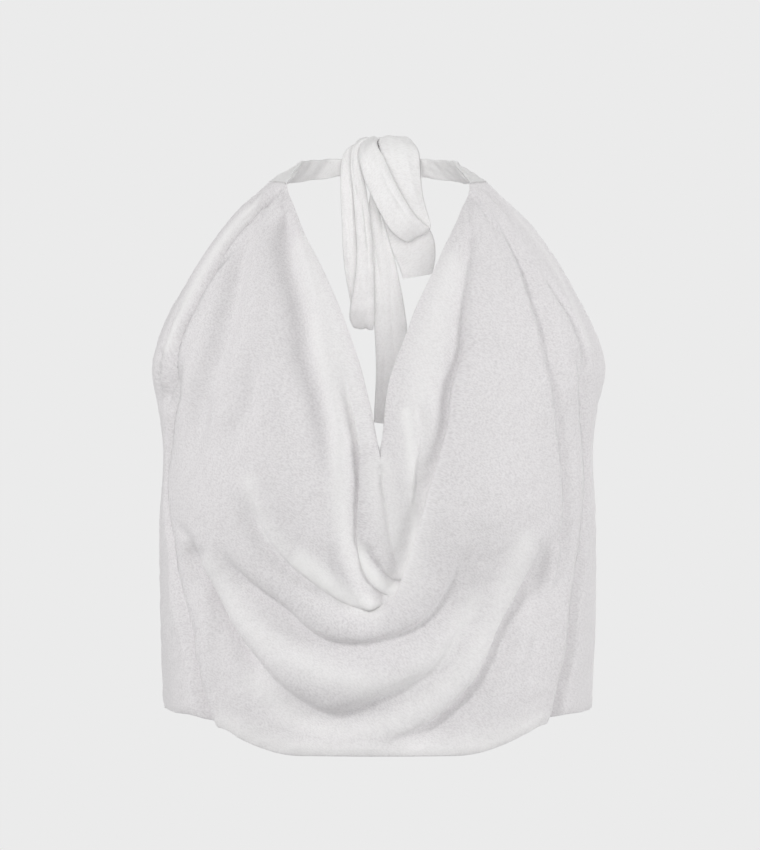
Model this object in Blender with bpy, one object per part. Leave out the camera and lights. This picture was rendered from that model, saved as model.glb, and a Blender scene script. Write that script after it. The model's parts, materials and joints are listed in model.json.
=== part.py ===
"""Cowl-neck halter top in its worn, hollow shape, tied in a bow at the nape.

The origin is at the nape, on the inner face of the neck band. +Z is up and the front faces -Y.
All tables are in millimetres. Points of the front are given as (x, z), as seen from straight ahead.
"""

import math
from collections import namedtuple

import bpy
import numpy as np

MM = 0.001

# Cloth: the body is cut double and pressed, the ties are a single turned tube pressed flat
BODY_CLOTH = 1.8
TIE_CLOTH = 1.6
SEAM_GAP = 0.5
NARROWEST_FOLD = 8.0

# The worn form: rings at several heights, each a rounded oval
RING_POWER = 2.25
Level = namedtuple("Level", "z half_width front_depth back_depth centre_y")
LEVELS = (
    Level(-10, 89, 50, 60, -50),
    Level(-38, 117, 68, 70, -53),
    Level(-71, 141, 88, 84, -57),
    Level(-104, 161, 104, 96, -60),
    Level(-137, 178, 115, 104, -61),
    Level(-170, 186, 123, 109, -63),
    Level(-203, 180.5, 129, 112, -65),
    Level(-225, 177.5, 131, 112, -66),
    Level(-290, 178.5, 135, 110, -70),
    Level(-360, 178.5, 134, 110, -72),
    Level(-434, 176, 130, 113, -74),
    Level(-480, 174, 128, 114, -75),
)

# Heights of the cut edges
UNDERARM_Z = -205.0
SIDE_HEM_Z = -447.0
FRONT_HEM_DROP = 29.0
HEM_DROP_STARTS = math.radians(60)
HEM_DROP_ENDS = math.radians(18)
BACK_TOP_DIP = 92.0
BACK_CORNER_DROP = 11.0

# Armhole edge, from the underarm up to the strap: how far round the ring, and how high
ArmholePoint = namedtuple("ArmholePoint", "turn_deg z")
ARMHOLE = (
    ArmholePoint(90, UNDERARM_Z),
    ArmholePoint(90.2, -193),
    ArmholePoint(94.5, -178),
    ArmholePoint(101, -152),
    ArmholePoint(101, -120),
    ArmholePoint(97, -84),
    ArmholePoint(88, -50),
    ArmholePoint(77, -26),
    ArmholePoint(70, -16),
)
STRAP_SEAM_INNER = (75.5, -18)

# Neckline edge from each strap down to the foot of the V
NECKLINE_FOOT = (2, -247)
NECKLINE_LEFT = ((-63, -45), (-46, -85), (-34, -113), (-22, -144), (-14, -168), (-9, -188), (-4, -210))
NECKLINE_RIGHT = ((65, -43), (50, -68), (38, -93), (25, -122), (17, -148), (11, -174), (6, -205))

# Soft creases pressed into the cloth. The left width is on the left hand of someone who
# travels along the points, as seen from outside, so a small one makes that bank steep.
Fold = namedtuple("Fold", "name depth left_width right_width fade_in fade_out points")
FRONT_FOLDS = (
    Fold("armhole_crease", 4.5, 9, 6, 0.15, 0.1,
         ((-80, -23), (-113, -54), (-133, -85), (-149, -118), (-164, -164), (-173, -200))),
    Fold("left_chest_hollow", 5.5, 13, 11, 0.3, 0.35,
         ((-90, -30), (-106, -63), (-118, -111), (-133, -171), (-145, -220), (-151, -276))),
    Fold("left_neck_hollow", 6.5, 9, 17, 0.12, 0.4,
         ((-79, -32), (-77, -54), (-62, -124), (-50, -188), (-43, -235), (-38, -298), (-33, -322))),
    Fold("left_neck_roll", 8.0, 13, 8, 0.45, 0.15,
         ((-33, -156), (-22, -212), (-17, -260), (-16, -312), (-9, -328), (13, -349))),
    Fold("right_neck_lap", 11.0, 8, 24, 0.75, 0.12,
         ((78, -28), (76, -70), (70, -132), (61, -181), (44, -256), (29, -309), (12, -351), (0, -363))),
    Fold("right_neck_hollow", 4.0, 9, 9, 0.4, 0.2,
         ((37, -156), (28, -196), (24, -228), (28, -280), (24, -331))),
    Fold("left_bust_crease", 4.0, 8, 15, 0.3, 0.2,
         ((-102, -263), (-95, -290), (-72, -325), (-42, -348), (-11, -361), (9, -355))),
    Fold("first_swag", 10.0, 9, 19, 0.2, 0.3,
         ((-132, -311), (-118, -329), (-75, -362), (-38, -387), (6, -385), (51, -356), (86, -287))),
    Fold("second_swag", 10.0, 10, 20, 0.18, 0.3,
         ((-152, -306), (-142, -336), (-116, -381), (-81, -421), (-38, -445), (17, -425), (77, -362), (113, -289))),
    Fold("third_swag", 7.0, 18, 9, 0.25, 0.1,
         ((136, -308), (113, -353), (90, -397), (65, -432), (37, -454), (-9, -478))),
    Fold("right_side_crease", 5.5, 13, 8, 0.25, 0.3,
         ((76, -24), (103, -57), (124, -115), (138, -175), (149, -258), (148, -302), (138, -359), (123, -427))),
    Fold("right_flank_crease", 6.0, 11, 8, 0.3, 0.0,
         ((128, -83), (162, -140), (169, -212), (169, -286), (161, -336), (153, -400), (138, -458))),
    Fold("left_flank_crease", 6.5, 13, 8, 0.15, 0.0,
         ((-173, -222), (-173, -262), (-167, -312), (-160, -357), (-149, -398), (-133, -458))),
)
BACK_FOLDS = (
    Fold("back_left_pull", 5.0, 12, 18, 0.1, 0.4,
         ((-172, -222), (-140, -300), (-96, -352), (-48, -382))),
    Fold("back_right_pull", 5.5, 18, 12, 0.1, 0.4,
         ((172, -222), (146, -290), (108, -340), (60, -372))),
    Fold("back_low_swag", 4.5, 12, 20, 0.3, 0.3,
         ((120, -372), (52, -414), (-28, -420), (-112, -384))),
    Fold("back_left_fall", 5.0, 12, 12, 0.3, 0.0,
         ((-158, -300), (-140, -360), (-128, -447))),
    Fold("back_right_fall", 4.5, 12, 12, 0.3, 0.0,
         ((150, -330), (136, -390), (131, -447))),
    Fold("back_middle_fall", 3.5, 14, 12, 0.4, 0.0,
         ((34, -330), (26, -390), (31, -447))),
)

# Broad fullness: positive stands out, negative sinks in
Swell = namedtuple("Swell", "name height x z reach_x reach_z")
FRONT_SWELLS = (
    Swell("left_cup", 8.0, -88, -262, 62, 62),
    Swell("right_cup", 8.0, 92, -262, 62, 62),
    Swell("cowl_belly", 9.0, -5, -408, 105, 42),
    Swell("cowl_hollow", -13.0, 10, -305, 26, 62),
)
BACK_SWELLS = (Swell("small_of_back", -7.0, 0, -352, 70, 60),)

# How finely each form is divided
ARMHOLE_STEPS = 12
STRAP_SEAM_STEPS = 3
NECKLINE_STEPS = 14
FRONT_ROWS = 34
TOP_EDGE_FADE = 2.4
BACK_COLUMNS = 36
BACK_ROWS = 13
CREASE_SAMPLES = 48
SEAM_FLAT = 13.0
SEAM_EASE = 14.0

# The neck band on the right side: its neck edge and its shoulder edge, from the seam to the knot
BandStation = namedtuple("BandStation", "neck_x neck_y neck_z shoulder_x shoulder_y shoulder_z")
BAND = (
    BandStation(75.2, -87.7, -18.0, 89.7, -70.1, -16.1),
    BandStation(71, -69, -7, 86, -55, -10),
    BandStation(66.5, -50, 1, 79, -42, -10.5),
    BandStation(60, -32, 5.5, 69, -24, -13.5),
    BandStation(45, -14, 8, 51, -7, -12),
    BandStation(29, -4.5, 8.3, 32, 0, -10.5),
    BandStation(15.4, -2.2, 7.5, 15.4, 0.4, -9),
)
BAND_STEPS = 22
BAND_BREADTH_STEPS = 4
BAND_CUP = 1.2

# The knot
KNOT_CENTRE = (0, -3, 4)
KNOT_HALF_SIZES = (15, 9.5, 15)
KNOT_POWER = 0.62
KNOT_RINGS = 10
KNOT_SEGMENTS = 20

# Bow strips: the middle of the strip, its breadth, which way the breadth points (slope in the
# front view, lean towards the back), and how hollow the strip is
Strip = namedtuple("Strip", "x y z breadth slope_deg lean_deg cup")
LOOP_LEFT = (
    Strip(-7, -1, 20.3, 10, 0, 0, 0.3),
    Strip(-10, -6, 26.5, 12, -4, 0, 1.5),
    Strip(-15, -16, 24, 13, -8, 10, 2.5),
    Strip(-15.5, -22, 8, 14, -4, 16, 3),
    Strip(-13, -23, -20, 17, 0, 12, 3),
    Strip(-11, -23, -50, 19, 0, 8, 3),
    Strip(-12, -23, -80, 20, 0, 6, 2.5),
    Strip(-14, -23, -108, 20, -8, 4, 2),
    Strip(-15.5, -21.5, -125, 20, -24, 2, 1),
    Strip(-16, -18, -131, 19, -30, 0, 0.4),
    Strip(-17, -14.5, -124, 17, -20, 0, -0.8),
    Strip(-21, -13.5, -100, 14, -6, 0, -1.6),
    Strip(-25, -14, -60, 13, 0, 0, -2),
    Strip(-26.5, -14, -20, 12, 0, 0, -2),
    Strip(-27, -13, 6, 11, 0, 0, -2),
    Strip(-25.5, -9, 17, 10, 14, 0, -1.2),
    Strip(-21.5, -5, 17, 9, 50, 0, -0.6),
    Strip(-15.1, -3, 13, 8, 75, 0, 0),
)
LOOP_RIGHT = (
    Strip(6.5, -1, 20.3, 10, 0, 0, 0.3),
    Strip(4.5, -8, 28.5, 13, 6, 0, 1.5),
    Strip(-3, -24, 28, 16, 8, 0, 2.5),
    Strip(-6, -35, 14, 18, 16, 0, 3),
    Strip(-1, -38, -8, 19, 24, 0, 3),
    Strip(9, -38, -30, 19, 30, 0, 3),
    Strip(21, -37, -47, 19, 34, 0, 2),
    Strip(29, -34, -55, 19, 34, 0, 1),
    Strip(33, -30, -56, 19, 32, 0, 0.4),
    Strip(35, -26.5, -49, 20, 24, 0, -1),
    Strip(33, -25, -30, 22, 10, 0, -2),
    Strip(28, -24, -6, 24, 4, 0, -2.5),
    Strip(26, -20, 12, 20, -6, 0, -2),
    Strip(24, -11, 20, 13, -24, 0, -1.2),
    Strip(20.5, -5, 17.5, 9, -55, 0, -0.6),
    Strip(15.6, -3, 13, 8, -75, 0, 0),
)
TAIL_LONG = (
    Strip(-3.5, -5, -13.5, 9, 0, 0, 0.3),
    Strip(2, -10, -24, 15, 0, 4, 2),
    Strip(5, -14.5, -50, 19, 0, 6, 3),
    Strip(8, -15, -86, 22, 0, 8, 3.5),
    Strip(10.5, -14.5, -119, 27, 0, 8, 3.5),
    Strip(12.5, -13.5, -153, 31, 0, 6, 3),
    Strip(12, -12, -186, 36, -4, 4, 2.5),
    Strip(11, -11, -213, 37, -7, 0, 2),
)
TAIL_SHORT = (
    Strip(5.5, -8, -11.3, 8, 0, 0, 0.3),
    Strip(9, -15, -20, 12, 4, 0, 1),
    Strip(15, -19, -38, 17, 10, 0, 2),
    Strip(22, -20, -62, 21, 14, 0, 2.5),
    Strip(29, -20.5, -80, 24, 12, 0, 2),
    Strip(32, -20, -91, 25, 12, 0, 1.5),
)
LOOP_STEPS = 46
TAIL_STEPS = 22
STRIP_BREADTH_STEPS = 4

BODY_COLOUR = (0.80, 0.785, 0.785, 1.0)
TIE_COLOUR = (0.86, 0.85, 0.85, 1.0)
CLOTH_ROUGHNESS = 0.9


def smooth_step(t):
    """Eases from 0 to 1 as t goes from 0 to 1, flat at both ends."""
    t = np.clip(t, 0.0, 1.0)
    return t * t * (3 - 2 * t)


def column(table, name):
    """One named column of a table, as an array."""
    return np.array([getattr(row, name) for row in table], float)


def hermite(knots, values, at):
    """A smooth curve through (knots, values): cubic pieces whose slopes are those of the neighbours' chord."""
    knots = np.asarray(knots, float)
    values = np.asarray(values, float)
    slopes = np.gradient(values, knots, axis=0)
    at = np.clip(at, knots[0], knots[-1])
    index = np.clip(np.searchsorted(knots, at) - 1, 0, len(knots) - 2)
    span = knots[index + 1] - knots[index]
    t = (at - knots[index]) / span
    if values.ndim > 1:
        t, span = t[..., None], span[..., None]
    start, end = values[index], values[index + 1]
    leave, arrive = slopes[index] * span, slopes[index + 1] * span
    return (
        start * (1 + 2 * t) * (1 - t) ** 2
        + leave * t * (1 - t) ** 2
        + end * t * t * (3 - 2 * t)
        + arrive * t * t * (t - 1)
    )


def through(points, count):
    """Count points evenly spaced along a smooth curve through the given points."""
    points = np.asarray(points, float)
    reach = np.concatenate([[0], np.cumsum(np.linalg.norm(np.diff(points, axis=0), axis=1))])
    fine = hermite(reach, points, np.linspace(0, reach[-1], 12 * len(points)))
    walked = np.concatenate([[0], np.cumsum(np.linalg.norm(np.diff(fine, axis=0), axis=1))])
    even = np.linspace(0, walked[-1], count)
    return np.stack([np.interp(even, walked, fine[:, k]) for k in range(points.shape[1])], axis=1)


def level_value(name, z):
    """A ring size at height z."""
    rising = LEVELS[::-1]
    return hermite(column(rising, "z"), column(rising, name), z)


def rounded(wave):
    """The oval's sine or cosine: its size raised to 2 / RING_POWER, with its sign kept."""
    return np.sign(wave) * np.abs(wave) ** (2 / RING_POWER)


def ring_point(turn, z, depth_name):
    """A point of the worn form. turn is 0 at the middle and a quarter circle at the side.
    x = half width * sine, y = centre - depth * cosine on the front, and + on the back."""
    side = -1 if depth_name == "front_depth" else 1
    x = level_value("half_width", z) * rounded(np.sin(turn))
    y = level_value("centre_y", z) + side * level_value(depth_name, z) * rounded(np.cos(turn))
    return np.stack([x, y, np.broadcast_to(z, x.shape)], axis=-1)


def ring_normal(turn, z, depth_name):
    """The outward direction of the worn form, from its slopes round the ring and down it."""
    small_turn, small_z = 0.01, 1.0
    across = ring_point(turn + small_turn, z, depth_name) - ring_point(turn - small_turn, z, depth_name)
    up = ring_point(turn, z + small_z, depth_name) - ring_point(turn, z - small_z, depth_name)
    normal = np.cross(across, up)
    if depth_name == "back_depth":
        normal = -normal
    return normal / np.linalg.norm(normal, axis=-1, keepdims=True)


RING_TURNS = np.linspace(-1.9, 1.9, 1521)
BUST_RING = ring_point(RING_TURNS, np.full(RING_TURNS.shape, -290.0), "front_depth")
RING_GIRTH = np.concatenate([[0], np.cumsum(np.linalg.norm(np.diff(BUST_RING, axis=0), axis=1))])
RING_GIRTH -= RING_GIRTH[-1] / 2


def girth(turn):
    """Distance round the bust ring from its middle, for a turn."""
    return np.interp(turn, RING_TURNS, RING_GIRTH)


def turn_at(distance):
    """The turn at a distance round the bust ring."""
    return np.interp(distance, RING_GIRTH, RING_TURNS)


def turn_of(x, z):
    """The turn at which the ring at height z shows at x from straight ahead."""
    share = np.clip(np.abs(x) / level_value("half_width", z), 0, 1)
    return np.sign(x) * np.arcsin(share ** (RING_POWER / 2))


def on_cloth(points):
    """Points seen from straight ahead, as (distance round the ring, height)."""
    points = np.asarray(points, float)
    return np.stack([girth(turn_of(points[:, 0], points[:, 1])), points[:, 1]], axis=1)


def crease_field(fold, place):
    """How far one fold sinks the cloth at each place: a bell across the crease, with its own width
    on each hand, times an ease in and out along it."""
    line = through(on_cloth(fold.points), CREASE_SAMPLES)
    start, step = line[:-1], np.diff(line, axis=0)
    length2 = (step**2).sum(1)
    gap = place[..., None, :] - start
    share = np.clip((gap * step).sum(-1) / length2, 0, 1)
    away = gap - share[..., None] * step
    distance2 = (away**2).sum(-1)
    nearest = distance2.argmin(-1)[..., None]
    distance = np.sqrt(np.take_along_axis(distance2, nearest, -1)[..., 0])
    cross = step[:, 0] * away[..., 1] - step[:, 1] * away[..., 0]
    left_hand = np.take_along_axis(cross, nearest, -1)[..., 0] > 0
    along = (nearest[..., 0] + np.take_along_axis(share, nearest, -1)[..., 0]) / len(step)
    left = max(fold.left_width, NARROWEST_FOLD)
    right = max(fold.right_width, NARROWEST_FOLD)
    bell = np.exp(-((distance / np.where(left_hand, left, right)) ** 2))
    ease_in = smooth_step(along / fold.fade_in)
    ease_out = smooth_step((1 - along) / fold.fade_out) if fold.fade_out else 1.0
    return -fold.depth * bell * ease_in * ease_out


def swell_field(swell, place):
    """How far a broad swell lifts the cloth: a bell with its own reach across and up."""
    centre = on_cloth([(swell.x, swell.z)])[0]
    share = ((place[..., 0] - centre[0]) / swell.reach_x) ** 2 + ((place[..., 1] - centre[1]) / swell.reach_z) ** 2
    return swell.height * np.exp(-share)


def relief(folds, swells, place, seam_distance):
    """All folds and swells together, eased to nothing at the side seams so that the panels meet."""
    total = sum(crease_field(fold, place) for fold in folds)
    total = total + sum(swell_field(swell, place) for swell in swells)
    return total * smooth_step((seam_distance - SEAM_FLAT) / SEAM_EASE)


def panel_points(turn, z, depth_name, folds, swells):
    """A panel's outer face: the worn form, moved along its outward direction by the relief."""
    place = np.stack([girth(turn), z], axis=-1)
    below_underarm = smooth_step((UNDERARM_Z + 25 - z) / 25)
    to_seam = np.abs(girth(math.pi / 2) - np.abs(place[..., 0]))
    free = SEAM_FLAT + SEAM_EASE
    seam_distance = to_seam * below_underarm + free * (1 - below_underarm)
    lift = relief(folds, swells, place, seam_distance)
    return ring_point(turn, z, depth_name) + ring_normal(turn, z, depth_name) * lift[..., None]


def side_girth(z):
    """Distance round the ring of the front's side edge at height z: the seam up to the underarm,
    and the armhole edge above it."""
    turn = hermite(column(ARMHOLE, "z"), column(ARMHOLE, "turn_deg"), z)
    return girth(np.radians(turn)) - SEAM_GAP / 2


def shares(points):
    """Points seen from straight ahead, as (share of the way to the side edge, height)."""
    place = on_cloth(points)
    return np.stack([place[:, 0] / side_girth(place[:, 1]), place[:, 1]], axis=1)


def front_top_edge():
    """The front's top edge from the left seam to the right one: armhole, strap seam, neckline,
    strap seam, armhole, as (share of the way to the side edge, height)."""
    armhole = np.stack([girth(np.radians(column(ARMHOLE, "turn_deg"))), column(ARMHOLE, "z")], axis=1)
    side = through(armhole, ARMHOLE_STEPS + 1)
    side[:, 0] = 1.0
    outer = side[-1:]
    inner = shares([STRAP_SEAM_INNER])
    strap = through(np.concatenate([outer, inner]), STRAP_SEAM_STEPS + 1)
    flip = np.array([-1, 1])
    foot = shares([NECKLINE_FOOT])
    left = through_edge(np.concatenate([inner * flip, shares(NECKLINE_LEFT), foot]))
    right = through_edge(np.concatenate([inner, shares(NECKLINE_RIGHT), foot]))
    return np.concatenate(
        [side * flip, (strap * flip)[1:], left[1:], right[::-1][1:], strap[::-1][1:], side[::-1][1:]]
    )


def through_edge(points):
    """The neckline's points evenly spaced along a smooth curve, with the shares weighed as lengths."""
    weight = np.array([side_girth(NECKLINE_FOOT[1]), 1.0])
    return through(points * weight, NECKLINE_STEPS + 1) / weight


def front_hem_z(turn):
    """The front hem's height: level by the seams, lower across the middle."""
    share = (HEM_DROP_STARTS - np.abs(turn)) / (HEM_DROP_STARTS - HEM_DROP_ENDS)
    return SIDE_HEM_Z - FRONT_HEM_DROP * smooth_step(share)


def front_sheet():
    """The front's outer face as a grid. Each column runs straight from the top edge to the hem in its
    share of the way to the side edge. The rows lose the shape of the top edge quickly as they go down."""
    top = front_top_edge()
    hem_share = np.linspace(-1, 1, len(top))
    hem_turn = turn_at(hem_share * side_girth(SIDE_HEM_Z))
    hem = np.stack([hem_share, front_hem_z(hem_turn)], axis=1)
    down = np.linspace(0, 1, FRONT_ROWS + 1)[:, None]
    edge_shape = (top[:, 1] - UNDERARM_Z) * (1 - down) ** TOP_EDGE_FADE
    z = UNDERARM_Z * (1 - down) + hem[:, 1] * down + edge_shape
    share = top[:, 0] * (1 - down) + hem[:, 0] * down
    turn = turn_at(share * side_girth(z))
    return panel_points(turn, z, "front_depth", FRONT_FOLDS, FRONT_SWELLS)


def back_sheet():
    """The back's outer face as a grid, from its scooped top edge down to a level hem."""
    seam = girth(math.pi / 2) - SEAM_GAP / 2
    across = np.linspace(-seam, seam, BACK_COLUMNS + 1)
    dip = BACK_TOP_DIP * (1 - smooth_step(np.abs(across / seam)) ** 1.3)
    down = np.linspace(0, 1, BACK_ROWS + 1)[:, None]
    z = (UNDERARM_Z - BACK_CORNER_DROP - dip) * (1 - down) + SIDE_HEM_Z * down
    turn = np.broadcast_to(turn_at(across), z.shape)
    return panel_points(turn, z, "back_depth", BACK_FOLDS, BACK_SWELLS)


def strip_sheet(edge_one, edge_two, cup, steps):
    """A strip of cloth between two edges. Across its breadth it bows out of flat by
    cup * (1 - s * s), with s from -1 to 1."""
    s = np.linspace(-1, 1, steps + 1)
    middle = (edge_one + edge_two) / 2
    half = (edge_two - edge_one) / 2
    along = np.gradient(middle, axis=0)
    out = np.cross(along, half)
    out /= np.linalg.norm(out, axis=1, keepdims=True)
    bow = cup[:, None] * (1 - s**2)[None, :]
    return middle[:, None] + half[:, None] * s[None, :, None] + out[:, None] * bow[..., None]


def band_sheet(side):
    """One half of the neck band. side is 1 for the right half and -1 for the left."""
    rows = np.array(BAND, float)
    rows = through(rows, BAND_STEPS + 1)
    mirror = np.array([side, 1, 1])
    cup = BAND_CUP * side * np.sin(np.linspace(0, math.pi, BAND_STEPS + 1))
    return strip_sheet(rows[:, :3] * mirror, rows[:, 3:] * mirror, cup, BAND_BREADTH_STEPS)


def bow_sheet(table, steps):
    """One strip of the bow, through its table's stations."""
    centres = np.stack([column(table, name) for name in ("x", "y", "z")], axis=1)
    walked = np.concatenate([[0], np.cumsum(np.linalg.norm(np.diff(centres, axis=0), axis=1))])
    at = np.linspace(0, walked[-1], steps + 1)
    path = hermite(walked, centres, at)
    breadth, slope, lean, cup = (
        hermite(walked, column(table, name), at) for name in ("breadth", "slope_deg", "lean_deg", "cup")
    )
    slope, lean = np.radians(slope), np.radians(lean)
    wide = np.stack([np.cos(lean) * np.cos(slope), np.sin(lean), np.cos(lean) * np.sin(slope)], axis=1)
    ahead = np.gradient(path, axis=0)
    ahead /= np.linalg.norm(ahead, axis=1, keepdims=True)
    wide -= ahead * (wide * ahead).sum(1, keepdims=True)
    wide *= breadth[:, None] / 2 / np.linalg.norm(wide, axis=1, keepdims=True)
    return strip_sheet(path - wide, path + wide, cup, STRIP_BREADTH_STEPS)


def knot_points():
    """The knot's rings: a squared ball, x and y = half size * cosine * sine, z = half size * sine,
    each raised to KNOT_POWER with its sign kept. The poles are single points."""
    def squared(wave):
        return np.sign(wave) * np.abs(wave) ** KNOT_POWER

    rise = np.linspace(-math.pi / 2, math.pi / 2, KNOT_RINGS + 1)[1:-1, None]
    turn = np.linspace(0, 2 * math.pi, KNOT_SEGMENTS, endpoint=False)[None, :]
    ball = np.stack(
        [
            squared(np.cos(rise)) * squared(np.cos(turn)),
            squared(np.cos(rise)) * squared(np.sin(turn)),
            np.broadcast_to(squared(np.sin(rise)), (KNOT_RINGS - 1, KNOT_SEGMENTS)),
        ],
        axis=-1,
    )
    return ball * KNOT_HALF_SIZES + KNOT_CENTRE


def cloth_material(name, colour):
    """Plain off-white cloth."""
    material = bpy.data.materials.new(name + "_cloth")
    material.use_nodes = True
    shader = material.node_tree.nodes["Principled BSDF"]
    shader.inputs["Base Color"].default_value = colour
    shader.inputs["Roughness"].default_value = CLOTH_ROUGHNESS
    shader.inputs["Metallic"].default_value = 0.0
    return material


def add_object(name, points, faces, colour):
    """A named mesh object from points in millimetres."""
    mesh = bpy.data.meshes.new(name)
    mesh.from_pydata((points * MM).tolist(), [], faces)
    mesh.materials.append(cloth_material(name, colour))
    mesh.validate()
    mesh.shade_smooth()
    built = bpy.data.objects.new(name, mesh)
    bpy.context.scene.collection.objects.link(built)
    return built


def add_wall(name, sheet, thickness, offset, colour):
    """A cloth wall: the sheet's quads, given their thickness by Solidify. offset -1 keeps the
    sheet as the outer face, and 0 as the middle of the wall."""
    rows, columns = sheet.shape[:2]
    index = np.arange(rows * columns).reshape(rows, columns)
    quads = np.stack([index[:-1, :-1], index[1:, :-1], index[1:, 1:], index[:-1, 1:]], axis=-1)
    built = add_object(name, sheet.reshape(-1, 3), quads.reshape(-1, 4).tolist(), colour)
    wall = built.modifiers.new("cloth", "SOLIDIFY")
    wall.thickness = thickness * MM
    wall.offset = offset
    return built


def add_knot():
    """The knot as a closed ball of quads with a fan at each pole."""
    rings = knot_points()
    count = KNOT_RINGS - 1
    index = np.arange(count * KNOT_SEGMENTS).reshape(count, KNOT_SEGMENTS)
    after = np.roll(index, -1, axis=1)
    quads = np.stack([index[:-1], after[:-1], after[1:], index[1:]], axis=-1).reshape(-1, 4).tolist()
    low, high = count * KNOT_SEGMENTS, count * KNOT_SEGMENTS + 1
    caps = [(low, int(b), int(a)) for a, b in zip(index[0], after[0])]
    caps += [(high, int(a), int(b)) for a, b in zip(index[-1], after[-1])]
    reach = np.array([0, 0, KNOT_HALF_SIZES[2]])
    poles = np.array([KNOT_CENTRE - reach, KNOT_CENTRE + reach])
    add_object("knot", np.concatenate([rings.reshape(-1, 3), poles]), quads + caps, TIE_COLOUR)


def main():
    for old in list(bpy.data.objects):
        bpy.data.objects.remove(old)
    add_wall("front", front_sheet(), BODY_CLOTH, -1, BODY_COLOUR)
    add_wall("back", back_sheet()[:, ::-1], BODY_CLOTH, -1, BODY_COLOUR)
    add_wall("neck_band_left", band_sheet(-1), TIE_CLOTH, 0, TIE_COLOUR)
    add_wall("neck_band_right", band_sheet(1), TIE_CLOTH, 0, TIE_COLOUR)
    add_knot()
    add_wall("loop_left", bow_sheet(LOOP_LEFT, LOOP_STEPS), TIE_CLOTH, 0, TIE_COLOUR)
    add_wall("loop_right", bow_sheet(LOOP_RIGHT, LOOP_STEPS), TIE_CLOTH, 0, TIE_COLOUR)
    add_wall("tail_long", bow_sheet(TAIL_LONG, TAIL_STEPS), TIE_CLOTH, 0, TIE_COLOUR)
    add_wall("tail_short", bow_sheet(TAIL_SHORT, TAIL_STEPS), TIE_CLOTH, 0, TIE_COLOUR)


main()
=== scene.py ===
"""Sleeveless cowl-neck halter top in brushed knit, worn and hollow, with its ties in a bow at the nape.

Tables are in millimetres and meshes in metres. The origin is at the nape, +Z is up and the front
faces -Y. Points of the front are given as (x, z), as seen from straight ahead. Left and right are
those of someone who looks at the front.
"""

import json
import math
from collections import namedtuple

import bpy
import numpy as np
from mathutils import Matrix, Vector

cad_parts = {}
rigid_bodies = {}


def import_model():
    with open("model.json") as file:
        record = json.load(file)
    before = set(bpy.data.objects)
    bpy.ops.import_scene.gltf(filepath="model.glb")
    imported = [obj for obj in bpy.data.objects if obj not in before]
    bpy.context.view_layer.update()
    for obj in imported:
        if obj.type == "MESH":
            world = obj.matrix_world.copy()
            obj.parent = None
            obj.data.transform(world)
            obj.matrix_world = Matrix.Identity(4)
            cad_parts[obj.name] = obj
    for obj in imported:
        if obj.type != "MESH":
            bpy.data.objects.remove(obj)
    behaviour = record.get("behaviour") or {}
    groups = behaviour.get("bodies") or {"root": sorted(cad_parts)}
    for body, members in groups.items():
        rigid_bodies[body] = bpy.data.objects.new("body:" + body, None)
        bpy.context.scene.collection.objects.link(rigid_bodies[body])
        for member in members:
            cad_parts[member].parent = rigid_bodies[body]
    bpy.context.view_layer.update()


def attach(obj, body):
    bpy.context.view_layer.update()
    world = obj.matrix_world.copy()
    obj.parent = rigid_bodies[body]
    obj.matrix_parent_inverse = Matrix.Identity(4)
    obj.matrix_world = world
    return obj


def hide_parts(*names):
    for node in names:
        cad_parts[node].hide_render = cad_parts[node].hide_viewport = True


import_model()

MM = 0.001

# Camera: level with the middle of the garment, about 2.9 metres from its front
CAMERA_PLACE = (0.0016, -3.080, -0.2155)
CAMERA_LENS = 154.95
FRAME_HEIGHT = 36.0

# The worn form: rings at several heights, each a rounded oval
RING_POWER = 2.25
SIZE_POWER = 2 / RING_POWER
Level = namedtuple("Level", "z half_width front_depth back_depth centre_y")
LEVELS = (
    Level(-10, 89, 50, 60, -50),
    Level(-38, 117, 68, 70, -53),
    Level(-71, 141, 88, 84, -57),
    Level(-104, 161, 104, 96, -60),
    Level(-137, 178, 115, 104, -61),
    Level(-170, 186, 123, 109, -63),
    Level(-203, 180.5, 129, 112, -65),
    Level(-225, 177.5, 131, 112, -66),
    Level(-290, 178.5, 135, 110, -70),
    Level(-360, 178.5, 134, 110, -72),
    Level(-434, 176, 130, 113, -74),
    Level(-480, 174, 128, 114, -75),
)

# The ring on which distances round the cloth are measured, and how finely
BUST_Z = -290.0
RING_REACH = 1.9
RING_SAMPLES = 1521

# Heights of the cut edges
UNDERARM_Z = -205.0
SIDE_HEM_Z = -447.0
FRONT_HEM_DROP = 29.0
HEM_DROP_STARTS = math.radians(60)
HEM_DROP_ENDS = math.radians(18)
BACK_TOP_DIP = 92.0
BACK_DIP_POWER = 1.3
BACK_CORNER_DROP = 7.0
SIDE_SEAM_GAP = 0.3

# Armhole edge, from the underarm up to the strap: how far round the ring, and how high
ArmholePoint = namedtuple("ArmholePoint", "turn_deg z")
ARMHOLE = (
    ArmholePoint(90, UNDERARM_Z),
    ArmholePoint(90.2, -193),
    ArmholePoint(94.5, -178),
    ArmholePoint(101, -152),
    ArmholePoint(101, -120),
    ArmholePoint(97, -84),
    ArmholePoint(88, -50),
    ArmholePoint(77, -26),
    ArmholePoint(70, -16),
)
STRAP_SEAM_INNER = (75.5, -18)

# Neckline edge from each strap down to the foot of the V
NECKLINE_FOOT = (2, -247)
NECKLINE_LEFT = (
    (-70, -36), (-66, -46), (-46.5, -85), (-34, -113), (-22, -144), (-14, -168), (-9, -188), (-4, -210),
)
NECKLINE_RIGHT = (
    (67, -43), (55, -68), (43.5, -93), (30, -122), (20.5, -148), (11, -174), (6, -205),
)

# Cloth: the body is cut double, the ties are a turned tube pressed flat
BODY_CLOTH = 1.8
TIE_CLOTH = 1.9

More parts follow.
